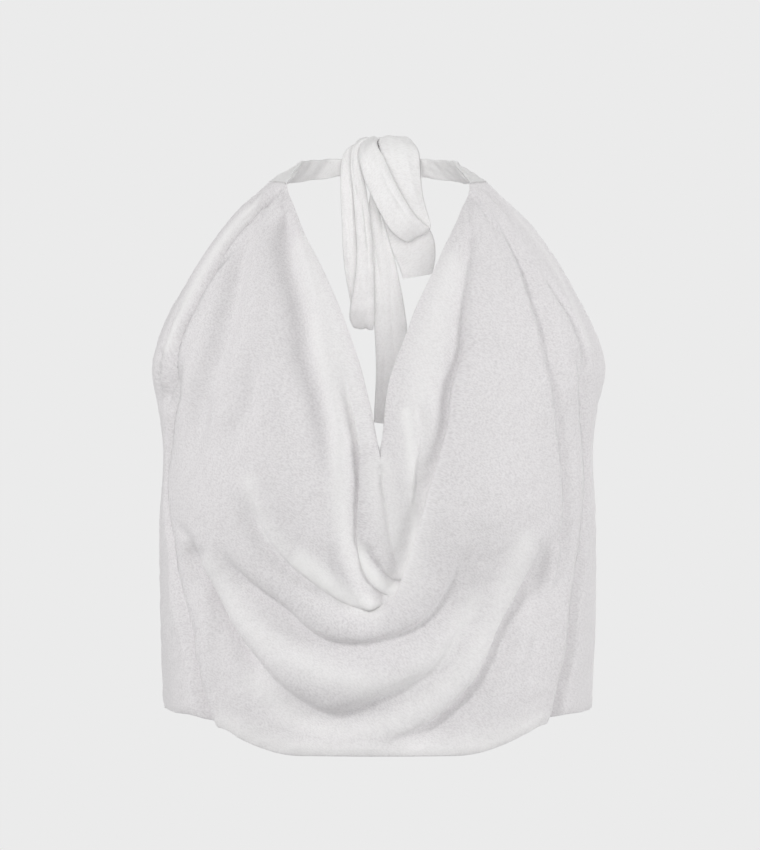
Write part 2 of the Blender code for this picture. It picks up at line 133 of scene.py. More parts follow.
# Where the outside rolls round a cut edge: its radius, the angles of its lines, and how far it then
# goes in, in radii, and back under
EDGE_RADIUS = 0.9
ROLL_ANGLES = (40, 80, 120, 160, 180)
TUCK_SINK = 1.6
EDGE_TUCK = 3.0

# Folds of the front. The left width is on the left hand of someone who travels along the points,
# as seen from outside, so a small one makes that bank steep. The lap is how far the steep bank's
# roll slides over the crease. The fades are the shares of its length over which the fold grows and
# dies away, where 0 is none.
Fold = namedtuple("Fold", "name depth left_width right_width lap fade_in fade_out points")
FRONT_FOLDS = (
    Fold("armhole_crease", 9, 5, 7, 5, 0.04, 0.12,
         ((-80, -23), (-101, -41), (-113, -54), (-133, -85), (-149, -118), (-161.9, -147.4),
          (-169.2, -177.8), (-174, -199), (-176, -207))),
    Fold("armhole_tuck", 5, 3.4, 3.6, 3, 0.2, 0.3,
         ((-104, -53), (-132, -91), (-153, -127), (-165.6, -147.4), (-172.8, -182.2), (-175.6, -206))),
    Fold("underarm_tuck", 4, 3.4, 3.6, 2.5, 0.3, 0.3,
         ((-154, -105), (-167, -128), (-173.8, -145.8), (-178.8, -172.9), (-178.5, -192), (-177, -207))),
    Fold("left_chest_hollow", 8.5, 12, 12, 0, 0.25, 0.3,
         ((-90, -30), (-106, -63), (-118, -111), (-125, -147), (-133, -171), (-141, -197), (-145, -220),
          (-150, -248), (-151, -276))),
    Fold("left_chest_sag", 4.2, 9, 9, 0, 0.4, 0.4,
         ((-88, -140), (-94, -158), (-100, -178), (-103, -204), (-112, -227), (-121, -251))),
    Fold("left_neck_hollow", 12, 10, 16, 0, 0.1, 0.45,
         ((-80, -32), (-77, -54), (-71, -83), (-62, -124), (-56, -164), (-50, -188), (-45, -212),
          (-43, -235), (-39, -267), (-39, -298), (-33, -322))),
    Fold("left_neck_valley", 8, 5, 8, 4, 0.3, 0.05,
         ((-33, -156), (-26, -188), (-19, -212), (-15.5, -234), (-15.5, -260), (-17, -286), (-17, -308),
          (-14, -325), (-6, -341), (6, -350), (14, -353))),
    Fold("neck_foot_lap", 3, 3.4, 6, 1.6, 0.2, 0.15,
         ((2, -245), (2, -254), (6, -280), (9, -304), (13, -318), (20, -336))),
    Fold("crescent_lap", 4.5, 3.2, 6, 2.2, 0.2, 0.1,
         ((-9, -306), (-6, -316), (0, -325), (7, -334), (13, -338), (22, -339))),
    Fold("neck_short_lap", 3.5, 2.6, 4, 2.6, 0.3, 0.2,
         ((-14, -361), (-6, -360), (2, -358), (10, -355))),
    Fold("neck_soft_step", 4, 5, 10, 0, 0.5, 0.2,
         ((-42, -298), (-40, -310), (-36, -327), (-28, -345), (-20, -355), (-13, -360))),
    Fold("right_neck_lap", 9, 4, 12, 4.4, 0.5, 0.1,
         ((78, -28), (76, -70), (72, -108), (70, -132), (68, -156), (61, -181), (55, -219), (44, -256),
          (36, -286), (29, -309), (21, -334), (12, -351), (0, -363))),
    Fold("right_strip_valley", 3.5, 8, 4, 1.5, 0.3, 0.3,
         ((30, -190), (34, -212), (34, -228), (31, -252), (30, -276), (29, -290))),
    Fold("left_bust_crease", 7, 6, 12, 3.4, 0.2, 0.1,
         ((-102, -263), (-100, -274), (-95, -290), (-85, -310), (-72, -325), (-56, -338), (-42, -348),
          (-27, -357), (-11, -361), (9, -355))),
    Fold("first_swag", 13, 10, 20, 5, 0.15, 0.3,
         ((-132, -311), (-127, -317), (-118, -329), (-98, -346), (-75, -362), (-58, -377), (-38, -387),
          (-19, -389), (6, -385), (29, -377), (51, -356), (63, -336), (73, -313), (86, -287))),
    Fold("second_swag", 11.5, 12, 20, 4.5, 0.12, 0.3,
         ((-152, -306), (-147, -321), (-142, -336), (-133, -353), (-124, -368), (-116, -381), (-99, -402),
          (-81, -421), (-62, -435), (-38, -445), (-9, -437), (17, -425), (42, -411), (64, -385),
          (77, -362), (89, -341), (100, -320), (113, -289))),
    Fold("second_swag_head", 9, 6, 10, 5, 0.1, 0.5,
         ((-152, -306), (-147, -321), (-142, -336), (-133, -353), (-124, -368), (-116, -381),
          (-99, -402), (-81, -421))),
    Fold("third_swag", 13, 18, 9, 6, 0.15, 0.3,
         ((136, -308), (125, -329), (113, -353), (101, -374), (90, -397), (79, -417), (65, -432),
          (37, -454), (6, -469), (-9, -475))),
    Fold("right_side_crease", 6.5, 11, 4.5, 3.6, 0.2, 0.4,
         ((76, -24), (89, -33), (103, -57), (115, -83), (124, -115), (131.5, -138), (137.6, -168),
          (141.7, -189), (144.5, -217), (147, -235), (148, -258), (149, -277), (148, -302), (146, -335),
          (138, -359), (130, -399), (123, -427))),
    Fold("right_flank_crease", 8, 8, 5, 3.8, 0.12, 0,
         ((158, -148), (162, -163), (165, -179), (166.4, -204), (167.5, -230), (168, -260), (167, -286),
          (165, -311), (161, -336), (156, -368), (153, -400), (147, -422), (138, -458))),
    Fold("right_edge_crease", 5, 6, 4, 2.4, 0.3, 0.15,
         ((128, -83), (148, -113), (156, -125), (162, -138), (167, -156), (170, -172), (172, -185),
          (174, -199))),
    Fold("left_flank_crease", 8.5, 5, 8, 3.4, 0.12, 0,
         ((-157, -150), (-159.5, -164), (-164, -190), (-167.5, -210), (-169.5, -230), (-172, -259),
          (-171, -289), (-167, -312), (-164, -336), (-160, -357), (-149, -398), (-142, -427), (-133, -458))),
    Fold("left_low_fall", 3.5, 8, 8, 0, 0.2, 0.3,
         ((-152, -306), (-154, -340), (-151, -372), (-144, -404))),
    Fold("right_low_fall", 4, 8, 8, 0, 0.15, 0.3,
         ((136, -308), (133, -339), (129, -371), (123, -403), (118, -434))),
    Fold("left_hem_fall", 3, 9, 9, 0, 0.4, 0,
         ((-142, -324), (-136, -355), (-129, -395), (-123, -434), (-121, -470))),
    Fold("left_pull", 2.5, 5, 6, 0, 0.3, 0.3,
         ((-164, -292), (-152, -306), (-142, -317), (-131, -323))),
    Fold("right_pull", 2.5, 5, 6, 0, 0.3, 0.3,
         ((159, -292), (146, -304), (133, -315), (121, -323))),
    Fold("gather_left_outer", 2.4, 2.4, 2.4, 0, 0.05, 0.6,
         ((-90, -17), (-99, -27), (-106, -37), (-115, -49))),
    Fold("gather_left_middle", 2.6, 2.4, 2.4, 0, 0.05, 0.6,
         ((-84, -19), (-93, -29), (-102, -42), (-109, -57))),
    Fold("gather_left_inner", 2.4, 2.4, 2.4, 0, 0.05, 0.6,
         ((-79, -20), (-89, -33), (-97, -47), (-104, -65))),
    Fold("gather_left_neck", 2.2, 2.4, 2.4, 0, 0.05, 0.5,
         ((-77, -21), (-80, -31), (-79, -41), (-78, -55), (-73, -70))),
    Fold("gather_right_outer", 2.4, 2.4, 2.4, 0, 0.05, 0.6,
         ((84, -20), (96, -32), (107, -45), (117, -62))),
    Fold("gather_right_middle", 2.4, 2.4, 2.4, 0, 0.05, 0.6,
         ((77, -24), (83, -36), (93, -53), (101, -74))),
    Fold("gather_right_neck", 1.8, 2.4, 2.4, 0, 0.05, 0.5,
         ((74, -25), (75, -45), (75, -66), (76, -91))),
)
BACK_FOLDS = (
    Fold("back_left_pull", 5, 12, 18, 0, 0.1, 0.4,
         ((-172, -222), (-140, -300), (-96, -352), (-48, -382))),
    Fold("back_right_pull", 5.5, 18, 12, 0, 0.1, 0.4,
         ((172, -222), (146, -290), (108, -340), (60, -372))),
    Fold("back_low_swag", 4.5, 12, 20, 0, 0.3, 0.3,
         ((120, -372), (52, -414), (-28, -420), (-112, -384))),
    Fold("back_left_fall", 5, 12, 12, 0, 0.3, 0,
         ((-158, -300), (-140, -360), (-128, -447))),
    Fold("back_right_fall", 4.5, 12, 12, 0, 0.3, 0,
         ((150, -330), (136, -390), (131, -447))),
    Fold("back_middle_fall", 3.5, 14, 12, 0, 0.4, 0,
         ((34, -330), (26, -390), (31, -447))),
    Fold("back_left_corner", 2.2, 4, 6, 0, 0.1, 0.5,
         ((-174, -216), (-158, -240), (-134, -262), (-104, -284))),
    Fold("back_right_corner", 2, 6, 4, 0, 0.1, 0.5,
         ((174, -216), (160, -246), (132, -272), (96, -292))),
    Fold("back_middle_sag", 1.8, 8, 12, 0, 0.3, 0.3,
         ((-70, -322), (-20, -340), (30, -342), (84, -318))),
)

# Broad fullness: positive stands out, negative sinks in
Swell = namedtuple("Swell", "name height x z reach_x reach_z")
FRONT_SWELLS = (
    Swell("left_cup", 8.0, -88, -262, 62, 62),
    Swell("right_cup", 8.0, 92, -262, 62, 62),
    Swell("cowl_belly", 9.0, -5, -408, 105, 42),
    Swell("cowl_hollow", -13.0, 10, -305, 26, 62),
)
BACK_SWELLS = (Swell("small_of_back", -7.0, 0, -352, 70, 60),)

# Unevenness of the cloth: broad waves and fine ones
Rumple = namedtuple("Rumple", "seed height shortest longest count")
FRONT_RUMPLES = (Rumple(4, 0.5, 34, 90, 14), Rumple(9, 0.14, 9, 24, 22))
BACK_RUMPLES = (Rumple(14, 0.6, 34, 90, 14), Rumple(19, 0.14, 9, 24, 22))

# Painted highlight: along these strips, where fold banks, crests, rolled edges and the hem catch the light,
# the cloth's colour is painted paler, most along the middle of each strip
HighlightStrip = namedtuple("HighlightStrip", "name share reach points")
FRONT_PAINTED_HIGHLIGHTS = (
    HighlightStrip("left_neck", 0.42, 25, ((-62, -68), (-48, -112), (-36, -150), (-25, -190), (-18, -222))),
    HighlightStrip("left_roll", 0.5, 15, ((-50, -129), (-36, -195), (-31, -228), (-29, -277),
                                      (-23, -310), (-13, -331), (8, -346))),
    HighlightStrip("right_roll", 0.4, 26, ((58, -85), (44, -137), (33, -195), (30, -240), (29, -290), (20, -335))),
    HighlightStrip("right_roll_bank", 0.7, 9, ((22, -205), (25, -228), (27, -260), (29, -290),
                                          (28, -318), (22, -334))),
    HighlightStrip("foot", 0.5, 22, ((3, -250), (8, -278), (15, -306))),
    HighlightStrip("crescent", 0.85, 8, ((-12, -312), (-10, -322), (-3, -333), (7, -341), (15, -344))),
    HighlightStrip("bust_bank", 0.75, 15, ((-60, -322), (-45, -335), (-32, -346), (-20, -354), (-4, -358))),
    HighlightStrip("cup_edge", 0.35, 13, ((-98, -262), (-95, -280), (-86, -298), (-72, -314))),
    HighlightStrip("upper_crest", 0.4, 18, ((-134, -327), (-114, -360), (-77, -393), (-31, -413), (10, -418),
                                       (51, -393), (76, -356))),
    HighlightStrip("lower_crest", 0.4, 18, ((-100, -418), (-60, -450), (-5, -455), (50, -425),
                                       (90, -375), (115, -310))),
    HighlightStrip("hem", 0.45, 22, ((-125, -455), (-80, -470), (0, -474), (80, -470), (125, -455))),
    HighlightStrip("left_armhole", 0.55, 15, ((-105, -38), (-125, -62), (-145, -92), (-160, -120), (-171, -148))),
    HighlightStrip("right_armhole", 0.3, 9, ((115, -45), (140, -80), (160, -118), (171, -148))),
)

# Cut edges that turn in: how far, and over what breadth
NECKLINE_TURN_IN = 5.0
NECKLINE_TURN_BREADTH = 13.0
ARMHOLE_TURN_IN = 3.0
ARMHOLE_TURN_BREADTH = 8.0
HEM_TURN_IN = 1.6
HEM_TURN_BREADTH = 7.0

# How finely the panels are divided
ARMHOLE_STEPS = 58
STRAP_SEAM_STEPS = 10
NECKLINE_STEPS = 82
FRONT_ROWS = 298
TOP_EDGE_FADE = 2.4
BACK_COLUMNS = 240
BACK_ROWS = 130
CREASE_SAMPLES = 64
SAMPLES_PER_POINT = 12

# A fold is worked out up to this many of its widths away
FOLD_REACH = 2.7

# The inside of the cloth: one point for this many of the outside's, how many points away its sink is
# evened out, and over how many rows it leaves the sink of the top edge and the hem
INSIDE_STEP = 2
INSIDE_REACH = 3
INSIDE_EASE = 8

# How many points away the outward directions of the top edge and the hem are evened out
EDGE_REACH = 4

# Where the sine of the angle between a column and its row is less, the worn form's direction mixes in
SKINNY = 0.3

# The relief is nil this near to a side seam and then grows over the next distance. Above the underarm
# the seam's hold on it dies away over the last one.
SEAM_FLAT = 3.0
SEAM_EASE = 8.0
UNDERARM_FADE = 7.0

# Distances over which it grows: all of it from the underarms, all but the folds and the hem from the
# strap seams, the laps from the armhole edges, and the neckline's turn from the foot of the V
UNDERARM_EASE = 8.0
STRAP_EASE = 20.0
EDGE_EASE = 10.0
FOOT_EASE = 34.0

# The neck band on the right side: its neck edge and its shoulder edge, from the seam to the knot
BandStation = namedtuple("BandStation", "neck_x neck_y neck_z shoulder_x shoulder_y shoulder_z")
BAND = (
    BandStation(75.8, -89.9, -17.9, 89.9, -72.5, -16),
    BandStation(72.6, -78, -12.5, 82.1, -63, -9.8),
    BandStation(69.2, -67, -6.8, 74.4, -54, -4.6),
    BandStation(65.7, -57, -1.3, 67.2, -47, 0.2),
    BandStation(63.4, -50, 2.2, 65.2, -42, 1.4),
    BandStation(62.2, -46, 3.4, 70.2, -40, -6.5),
    BandStation(60.6, -41, 4.1, 75.9, -37, -13.9),
    BandStation(56.6, -34, 4.9, 74.2, -30, -14.1),
    BandStation(50.1, -24, 6, 63.6, -20, -12.1),
    BandStation(40.3, -12, 7.6, 45.3, -8, -8.8),
    BandStation(29.4, -5, 8.1, 31.1, -1, -6.1),
    BandStation(14.6, -2.2, 6.8, 14.6, 0.4, -5),
)
BAND_STEPS = 150
BAND_CUP = 1.2

# The knot: its form, how finely it is divided, its size on the flat cloth, and its pleats
KNOT_CENTRE = (0, -3, 4)
KNOT_HALF_SIZES = (15, 9.5, 15)
KNOT_POWER = 0.62
KNOT_ROWS = 91
KNOT_AROUND = 180
KNOT_GIRTH = 80
KNOT_RISE = 45
KNOT_PLEATS = (-8.5, -3.4, 2.6, 8.2)
PLEAT_BREADTH = 1.3
PLEAT_LEAN = 0.16
PLEAT_DEPTH = 0.075

# Bow strips: the left and right edge at stations along each, and how hollow the strip is
BowStation = namedtuple("BowStation", "left_x left_y left_z right_x right_y right_z cup")
LOOP_LEFT = (
    BowStation(-4.7, -3, 17.5, 4.7, -3, 17.5, 0.3),
    BowStation(-14.3, -13, 23.8, -0.8, -12, 23.5, 1),
    BowStation(-21.4, -23, 16.0, -10.9, -22, 19.0, 1.5),
    BowStation(-23.0, -27, 4.0, -14.0, -27, 6.5, 2),
    BowStation(-21.2, -28, -19.5, -9.7, -27, -19.4, 2.5),
    BowStation(-19.2, -28, -44.5, -6.3, -27, -44.4, 2.5),
    BowStation(-17.7, -28, -77.9, -3.7, -27, -77.8, 2.5),
    BowStation(-20.7, -27, -102.8, -3.0, -26, -102.8, 2),
    BowStation(-23.7, -26, -119.5, -3.0, -25, -120.3, 1.5),
    BowStation(-23.4, -23, -128.6, -3.3, -22, -131.4, 0.8),
    BowStation(-20.7, -19, -133.0, -4.7, -18, -136.0, 0.3),
    BowStation(-20.4, -15.5, -127.5, -6.7, -15, -131.7, 0),
    BowStation(-23.5, -14.5, -110.8, -10.1, -14, -115.8, -0.5),
    BowStation(-27.7, -14.5, -87.3, -15.1, -14, -92.3, -1),
    BowStation(-30.5, -15.5, -43.8, -17.4, -15, -45.4, -1.5),
    BowStation(-31.5, -16.5, -10.3, -18.4, -16, -11.2, -1.5),
    BowStation(-30.8, -15.5, 4.5, -19.1, -15, 2.8, -1),
    BowStation(-26.2, -11, 16.0, -15.8, -10.5, 12.7, -0.5),
    BowStation(-18.5, -6, 20.3, -9.7, -6, 15.6, 0),
    BowStation(-11.4, -3, 18.1, -4.7, -3, 12.1, 0),
)
LOOP_RIGHT = (
    BowStation(-3.7, -1.5, 15.9, 5.4, -1.5, 15.9, 0.3),
    BowStation(-8.7, -10, 23.7, 2.3, -10, 24.0, 1),
    BowStation(-13.7, -22, 19.7, -0.3, -22, 22.7, 1.5),
    BowStation(-16.2, -34, 10.1, 0.0, -33, 16.0, 2.5),
    BowStation(-14.4, -42, -2.1, 5.3, -40, 6.4, 3),
    BowStation(-10.6, -45, -14.2, 10.3, -43, -4.7, 3),
    BowStation(-4.6, -46, -27.3, 15.6, -44, -16.3, 3),
    BowStation(2.5, -46, -41.3, 22.9, -44, -29.1, 3),
    BowStation(10.0, -45, -53.4, 31.2, -43, -41.7, 2.5),
    BowStation(17.6, -42, -60.2, 38.6, -40, -48.2, 1.5),
    BowStation(25.0, -37, -63.0, 43.3, -36, -51.3, 0.6),
    BowStation(26.3, -32, -59.7, 43.7, -32, -48.4, 0),
    BowStation(23.7, -29.5, -49.6, 42.5, -30, -42.9, -0.6),
    BowStation(17.0, -28.5, -34.5, 39.5, -29, -32.9, -1.2),
    BowStation(9.7, -28, -16.1, 36.7, -28.5, -18.7, -2),
    BowStation(4.7, -27, -0.2, 35.4, -27, -2.7, -2),
    BowStation(2.3, -23.5, 11.7, 34.3, -23.5, 11.7, -2),
    BowStation(-0.3, -16.5, 21.1, 30.1, -16.5, 20.5, -1.2),
    BowStation(-1.0, -10, 25.0, 23.8, -10, 25.7, -0.6),
    BowStation(1.0, -3, 20.5, 12.8, -3, 15.8, 0),
)
TAIL_LONG = (
    BowStation(-4.7, -5.5, -8.9, 4.7, -5.5, -8.9, 0.3),
    BowStation(-7.5, -12, -26.8, 6.7, -11, -26.8, 1.5),
    BowStation(-9.5, -15, -43.7, 8.7, -14, -44.5, 2.5),
    BowStation(-8.0, -15.5, -60.5, 11.4, -15, -63.0, 3),
    BowStation(-5.7, -15, -85.6, 16.4, -15, -87.3, 3.5),
    BowStation(-4.7, -14.5, -110.8, 21.1, -14.5, -110.8, 3.5),
    BowStation(-3.0, -13.5, -135.9, 24.5, -13.5, -135.9, 3),
    BowStation(-1.7, -12, -169.4, 26.8, -12, -169.4, 2.5),
    BowStation(-3.0, -11.5, -199.6, 26.2, -11.5, -202.1, 2),
    BowStation(-3.7, -11, -213.3, 23.8, -11, -216.7, 1.5),
)
TAIL_SHORT = (
    BowStation(-0.7, -8.5, -8.5, 7.4, -8.5, -8.5, 0.3),
    BowStation(0.3, -14.5, -23.6, 15.8, -14.5, -22.3, 1),
    BowStation(3.3, -19.5, -40.7, 28.8, -19.5, -35.6, 2),
    BowStation(8.0, -21.5, -57.5, 42.6, -21.5, -50.8, 2.5),
    BowStation(12.0, -21.5, -70.9, 47.3, -21.5, -62.8, 2.5),
    BowStation(17.4, -21, -82.9, 47.8, -21, -76.2, 2),
    BowStation(20.9, -20, -93.4, 45.7, -20, -88.9, 1.5),
)
# Creases along each strip: where across it (-1 to 1), how deep and how broad
Crease = namedtuple("Crease", "share depth breadth")
BAND_CREASES = (Crease(0.1, 0.35, 0.25),)
LOOP_LEFT_CREASES = (Crease(0.25, 1.3, 0.16), Crease(-0.45, 0.6, 0.15))
LOOP_RIGHT_CREASES = (Crease(0.45, 1.0, 0.16), Crease(-0.3, 0.5, 0.2))
TAIL_LONG_CREASES = (Crease(-0.45, 1.2, 0.14), Crease(0.2, 1.6, 0.12), Crease(0.6, 0.7, 0.12))
TAIL_SHORT_CREASES = (Crease(-0.2, 1.0, 0.14), Crease(0.5, 0.8, 0.14))
# Along a strip a crease wanders and its depth changes, each in waves. Creases and unevenness fade out
# over the last stretch at each end.
CREASE_WANDER = 0.12
WANDER_LENGTH = 23
DEPTH_MEAN = 0.6
DEPTH_SWING = 0.4
DEPTH_LENGTH = 15
END_FADE = 12

# Unevenness of a strip: its height, shortest and longest wave and their count, on this half breadth
TIE_RUMPLE = (0.35, 9, 30, 10)
TIE_HALF_BREADTH = 10

# How square the section of a pressed tube is
TUBE_POWER = 6

# How finely the strips are divided, and how far the points across are drawn towards the two edges
LOOP_STEPS = 260
TAIL_STEPS = 160
TIE_BREADTH_STEPS = 30
EDGE_CROWDING = 0.35

# Colours of the knit: a fibre, the depth between fibres, and a painted highlight that is mixed in where fold
# banks and crests catch the light
BODY_LIGHT = (0.795, 0.779, 0.787, 1)
BODY_DARK = (0.665, 0.645, 0.655, 1)
# The ties' colours are the body's knit painted lighter: painted light that stands for the brighter light
# falling on the bow
TIE_LIGHT = (0.90, 0.895, 0.892, 1)
TIE_DARK = (0.83, 0.822, 0.818, 1)
PAINTED_HIGHLIGHT_COLOUR = (0.93, 0.926, 0.918, 1)

# How high the nap stands, in metres
BODY_NAP = 0.0004
TIE_NAP = 0.0003

# The studio: what the camera sees behind the top, and how much light comes from below and above
BACKDROP_COLOUR = (0.831, 0.831, 0.831, 1.0)
LOW_GLOW = 0.48
HIGH_GLOW = 0.46
FLOOR_Z = -1.45
FLOOR_RADIUS = 14.0
FLOOR_SIDES = 96

# Lamps of the body and of the ties, in metres and watts
Lamp = namedtuple("Lamp", "name place aim size energy")
LAMPS = (
    Lamp("key", (-2.0, -2.8, 2.1), (0, -0.08, -0.25), 0.9, 52.0),
    Lamp("right", (2.3, -0.8, 0.1), (0, -0.08, -0.25), 1.0, 24.0),
    Lamp("left", (-2.3, -0.6, 0.2), (0, -0.08, -0.25), 1.0, 10.0),
    Lamp("front", (0.0, -3.2, -1.1), (0, -0.08, -0.40), 1.6, 13.0),
    Lamp("behind", (0.9, 2.8, 0.9), (0, 0.02, -0.25), 1.6, 36.0),
)
TIE_LAMPS = (
    Lamp("bow", (0.0, -1.9, -0.06), (0, -0.02, -0.05), 0.8, 17.2),
    Lamp("crown", (-0.45, -0.6, 1.3), (0, -0.05, 0), 0.8, 2.8),
    Lamp("bow_behind", (0.9, 2.4, 0.5), (0, 0.02, -0.05), 1.0, 20.0),
)


def smooth_step(t):
    """Eases from 0 to 1 as t goes from 0 to 1, flat at both ends."""
    t = np.clip(t, 0.0, 1.0)
    return t * t * (3 - 2 * t)


def unit(vectors):
    """Vectors brought to length 1."""
    return vectors / np.maximum(np.linalg.norm(vectors, axis=-1, keepdims=True), 1e-12)


def column(table, name):
    """One named column of a table, as an array."""
    return np.array([getattr(row, name) for row in table], float)


def hermite(knots, values, at):
    """A smooth curve through (knots, values): cubic pieces that meet with the same slope, which comes
    from the knots on both sides."""
    knots = np.asarray(knots, float)
    values = np.asarray(values, float)
    slopes = np.gradient(values, knots, axis=0)
    at = np.clip(at, knots[0], knots[-1])
    index = np.clip(np.searchsorted(knots, at) - 1, 0, len(knots) - 2)
    span = knots[index + 1] - knots[index]
    t = (at - knots[index]) / span
    if values.ndim > 1:
        t, span = t[..., None], span[..., None]
    start, end = values[index], values[index + 1]
    leave, arrive = slopes[index] * span, slopes[index + 1] * span
    return (
        start * (1 + 2 * t) * (1 - t) ** 2
        + leave * t * (1 - t) ** 2
        + end * t * t * (3 - 2 * t)
        + arrive * t * t * (t - 1)
    )


def walked(points):
    """Distance walked along points, from 0 at the first."""
    steps = np.linalg.norm(np.diff(points, axis=0), axis=1)
    return np.concatenate([[0], np.cumsum(steps)])


def through(points, count):
    """Count points evenly spaced along a smooth curve through the given points."""
    points = np.asarray(points, float)
    reach = walked(points)
    fine = hermite(reach, points, np.linspace(0, reach[-1], SAMPLES_PER_POINT * len(points)))
    along = walked(fine)
    even = np.linspace(0, along[-1], count)
    return np.stack([np.interp(even, along, fine[:, k]) for k in range(points.shape[1])], axis=1)


def level_value(name, z):
    """A ring size at height z."""
    rising = LEVELS[::-1]
    return hermite(column(rising, "z"), column(rising, name), z)


def rounded(wave):
    """The oval's sine or cosine: its size raised to 2 / RING_POWER, with its sign kept."""
    return np.sign(wave) * np.abs(wave) ** SIZE_POWER


def ring_point(turn, z, depth_name):
    """A point of the worn form. turn is 0 at the middle and a quarter circle at the side.
    x = half width * sine, y = centre - depth * cosine on the front, and + on the back."""
    side = -1 if depth_name == "front_depth" else 1
    x = level_value("half_width", z) * rounded(np.sin(turn))
    y = level_value("centre_y", z) + side * level_value(depth_name, z) * rounded(np.cos(turn))
    return np.stack([x, y, np.broadcast_to(z, x.shape)], axis=-1)


def ring_normal(turn, z, depth_name):
    """The outward direction of the worn form, from its slopes round the ring and down it."""
    small_turn, small_z = 0.01, 1.0
    across = ring_point(turn + small_turn, z, depth_name) - ring_point(turn - small_turn, z, depth_name)
    up = ring_point(turn, z + small_z, depth_name) - ring_point(turn, z - small_z, depth_name)
    normal = np.cross(across, up)
    if depth_name == "back_depth":
        normal = -normal
    return unit(normal)


RING_TURNS = np.linspace(-RING_REACH, RING_REACH, RING_SAMPLES)
RING_GIRTH = walked(ring_point(RING_TURNS, np.full(RING_TURNS.shape, BUST_Z), "front_depth"))
RING_GIRTH -= RING_GIRTH[-1] / 2


def girth(turn):
    """Distance round the bust ring from its middle, for a turn."""
    return np.interp(turn, RING_TURNS, RING_GIRTH)


def turn_at(distance):
    """The turn at a distance round the bust ring."""
    return np.interp(distance, RING_GIRTH, RING_TURNS)


def turn_of(x, z):
    """The turn at which the ring at height z shows at x from straight ahead."""
    share = np.clip(np.abs(x) / level_value("half_width", z), 0, 1)
    return np.sign(x) * np.arcsin(share ** (RING_POWER / 2))


def on_cloth(points):
    """Points seen from straight ahead, as (distance round the ring, height)."""
    points = np.asarray(points, float)
    return np.stack([girth(turn_of(points[:, 0], points[:, 1])), points[:, 1]], axis=1)


def nearest_on(line, place, reach):
    """For each place within reach of a line: where it is in the array, how far it lies from the line
    in both directions, whether it lies on the left hand, and its share of the way along."""
    low, high = line.min(0) - reach, line.max(0) + reach
    close = np.nonzero(((place > low) & (place < high)).all(-1))
    start, step = line[:-1], np.diff(line, axis=0)
    gap = place[close][:, None, :] - start
    share = np.clip((gap * step).sum(-1) / (step**2).sum(1), 0, 1)
    away = gap - share[..., None] * step
    distance2 = (away**2).sum(-1)
    nearest = distance2.argmin(-1)
    each = np.arange(len(nearest))
    cross = step[:, 0] * away[..., 1] - step[:, 1] * away[..., 0]
    along = (nearest + share[each, nearest]) / len(step)
    return close, away[each, nearest], cross[each, nearest] > 0, along


def fold_fields(fold, place):
    """How far one fold sinks the cloth at each place, and how far it slides it along its surface.
    The sink is a bell across the crease, with its own width on each hand. On the steep hand the cloth
    slides towards the crease by lap * t * t * e to the (1 - t * t), where t is distance / width."""
    line = through(on_cloth(fold.points), CREASE_SAMPLES)
    reach = FOLD_REACH * max(fold.left_width, fold.right_width)
    close, away, left_hand, along = nearest_on(line, place, reach)
    distance = np.linalg.norm(away, axis=1)
    share = distance / np.where(left_hand, fold.left_width, fold.right_width)
    ease = smooth_step(along / fold.fade_in) if fold.fade_in else 1.0
    ease = ease * (smooth_step((1 - along) / fold.fade_out) if fold.fade_out else 1.0)
    sink = np.zeros(place.shape[:-1])
    sink[close] = -fold.depth * np.exp(-(share**2)) * ease
    steep = left_hand == (fold.left_width < fold.right_width)
    slide = np.zeros(place.shape)
    slide[close] = -unit(away) * (fold.lap * share**2 * np.exp(1 - share**2) * ease * steep)[:, None]
    return sink, slide


def all_folds(folds, place):
    """The sinks of all folds together, and their slides together."""
    fields = [fold_fields(fold, place) for fold in folds]
    return sum(sink for sink, _ in fields), sum(slide for _, slide in fields)


def turned_edge(line, place, drop, breadth):
    """How far a cut edge turns in: drop * (1 - distance / breadth) squared, nothing past the breadth."""
    close, away, _, _ = nearest_on(line, place, breadth)
    field = np.zeros(place.shape[:-1])
    field[close] = -drop * np.maximum(0, 1 - np.linalg.norm(away, axis=1) / breadth) ** 2
    return field


def swell_field(swell, place):
    """How far a broad swell lifts the cloth: a bell with its own reach across and up."""
    centre = on_cloth([(swell.x, swell.z)])[0]
    across = (place[..., 0] - centre[0]) / swell.reach_x
    up = (place[..., 1] - centre[1]) / swell.reach_z
    return swell.height * np.exp(-(across**2 + up**2))


def rumple(place, seed, height, shortest, longest, count):
    """Soft unevenness: the mean of count sine waves in seeded directions, between two wavelengths."""
    luck = np.random.default_rng(seed)
    heading = luck.uniform(0, 2 * math.pi, count)
    length = luck.uniform(shortest, longest, count)
    start = luck.uniform(0, 2 * math.pi, count)
    total = 0.0
    for angle, wave, phase in zip(heading, length, start):
        run = place[..., 0] * math.cos(angle) + place[..., 1] * math.sin(angle)
        total = total + np.sin(2 * math.pi * run / wave + phase)
    return height * total / math.sqrt(count / 2)


def side_girth(z):
    """Distance round the ring of the front's side edge at height z: the seam up to the underarm,
    and the armhole edge above it."""
    turn = hermite(column(ARMHOLE, "z"), column(ARMHOLE, "turn_deg"), z)
    return girth(np.radians(turn)) - SIDE_SEAM_GAP / 2


def shares(points):
    """Points seen from straight ahead, as (share of the way to the side edge, height)."""
    place = on_cloth(points)
    return np.stack([place[:, 0] / side_girth(place[:, 1]), place[:, 1]], axis=1)


def neckline_edge(points):
    """The neckline's points evenly spaced along a smooth curve, with the shares weighed as lengths."""
    weight = np.array([side_girth(NECKLINE_FOOT[1]), 1.0])
    return through(points * weight, NECKLINE_STEPS + 1) / weight


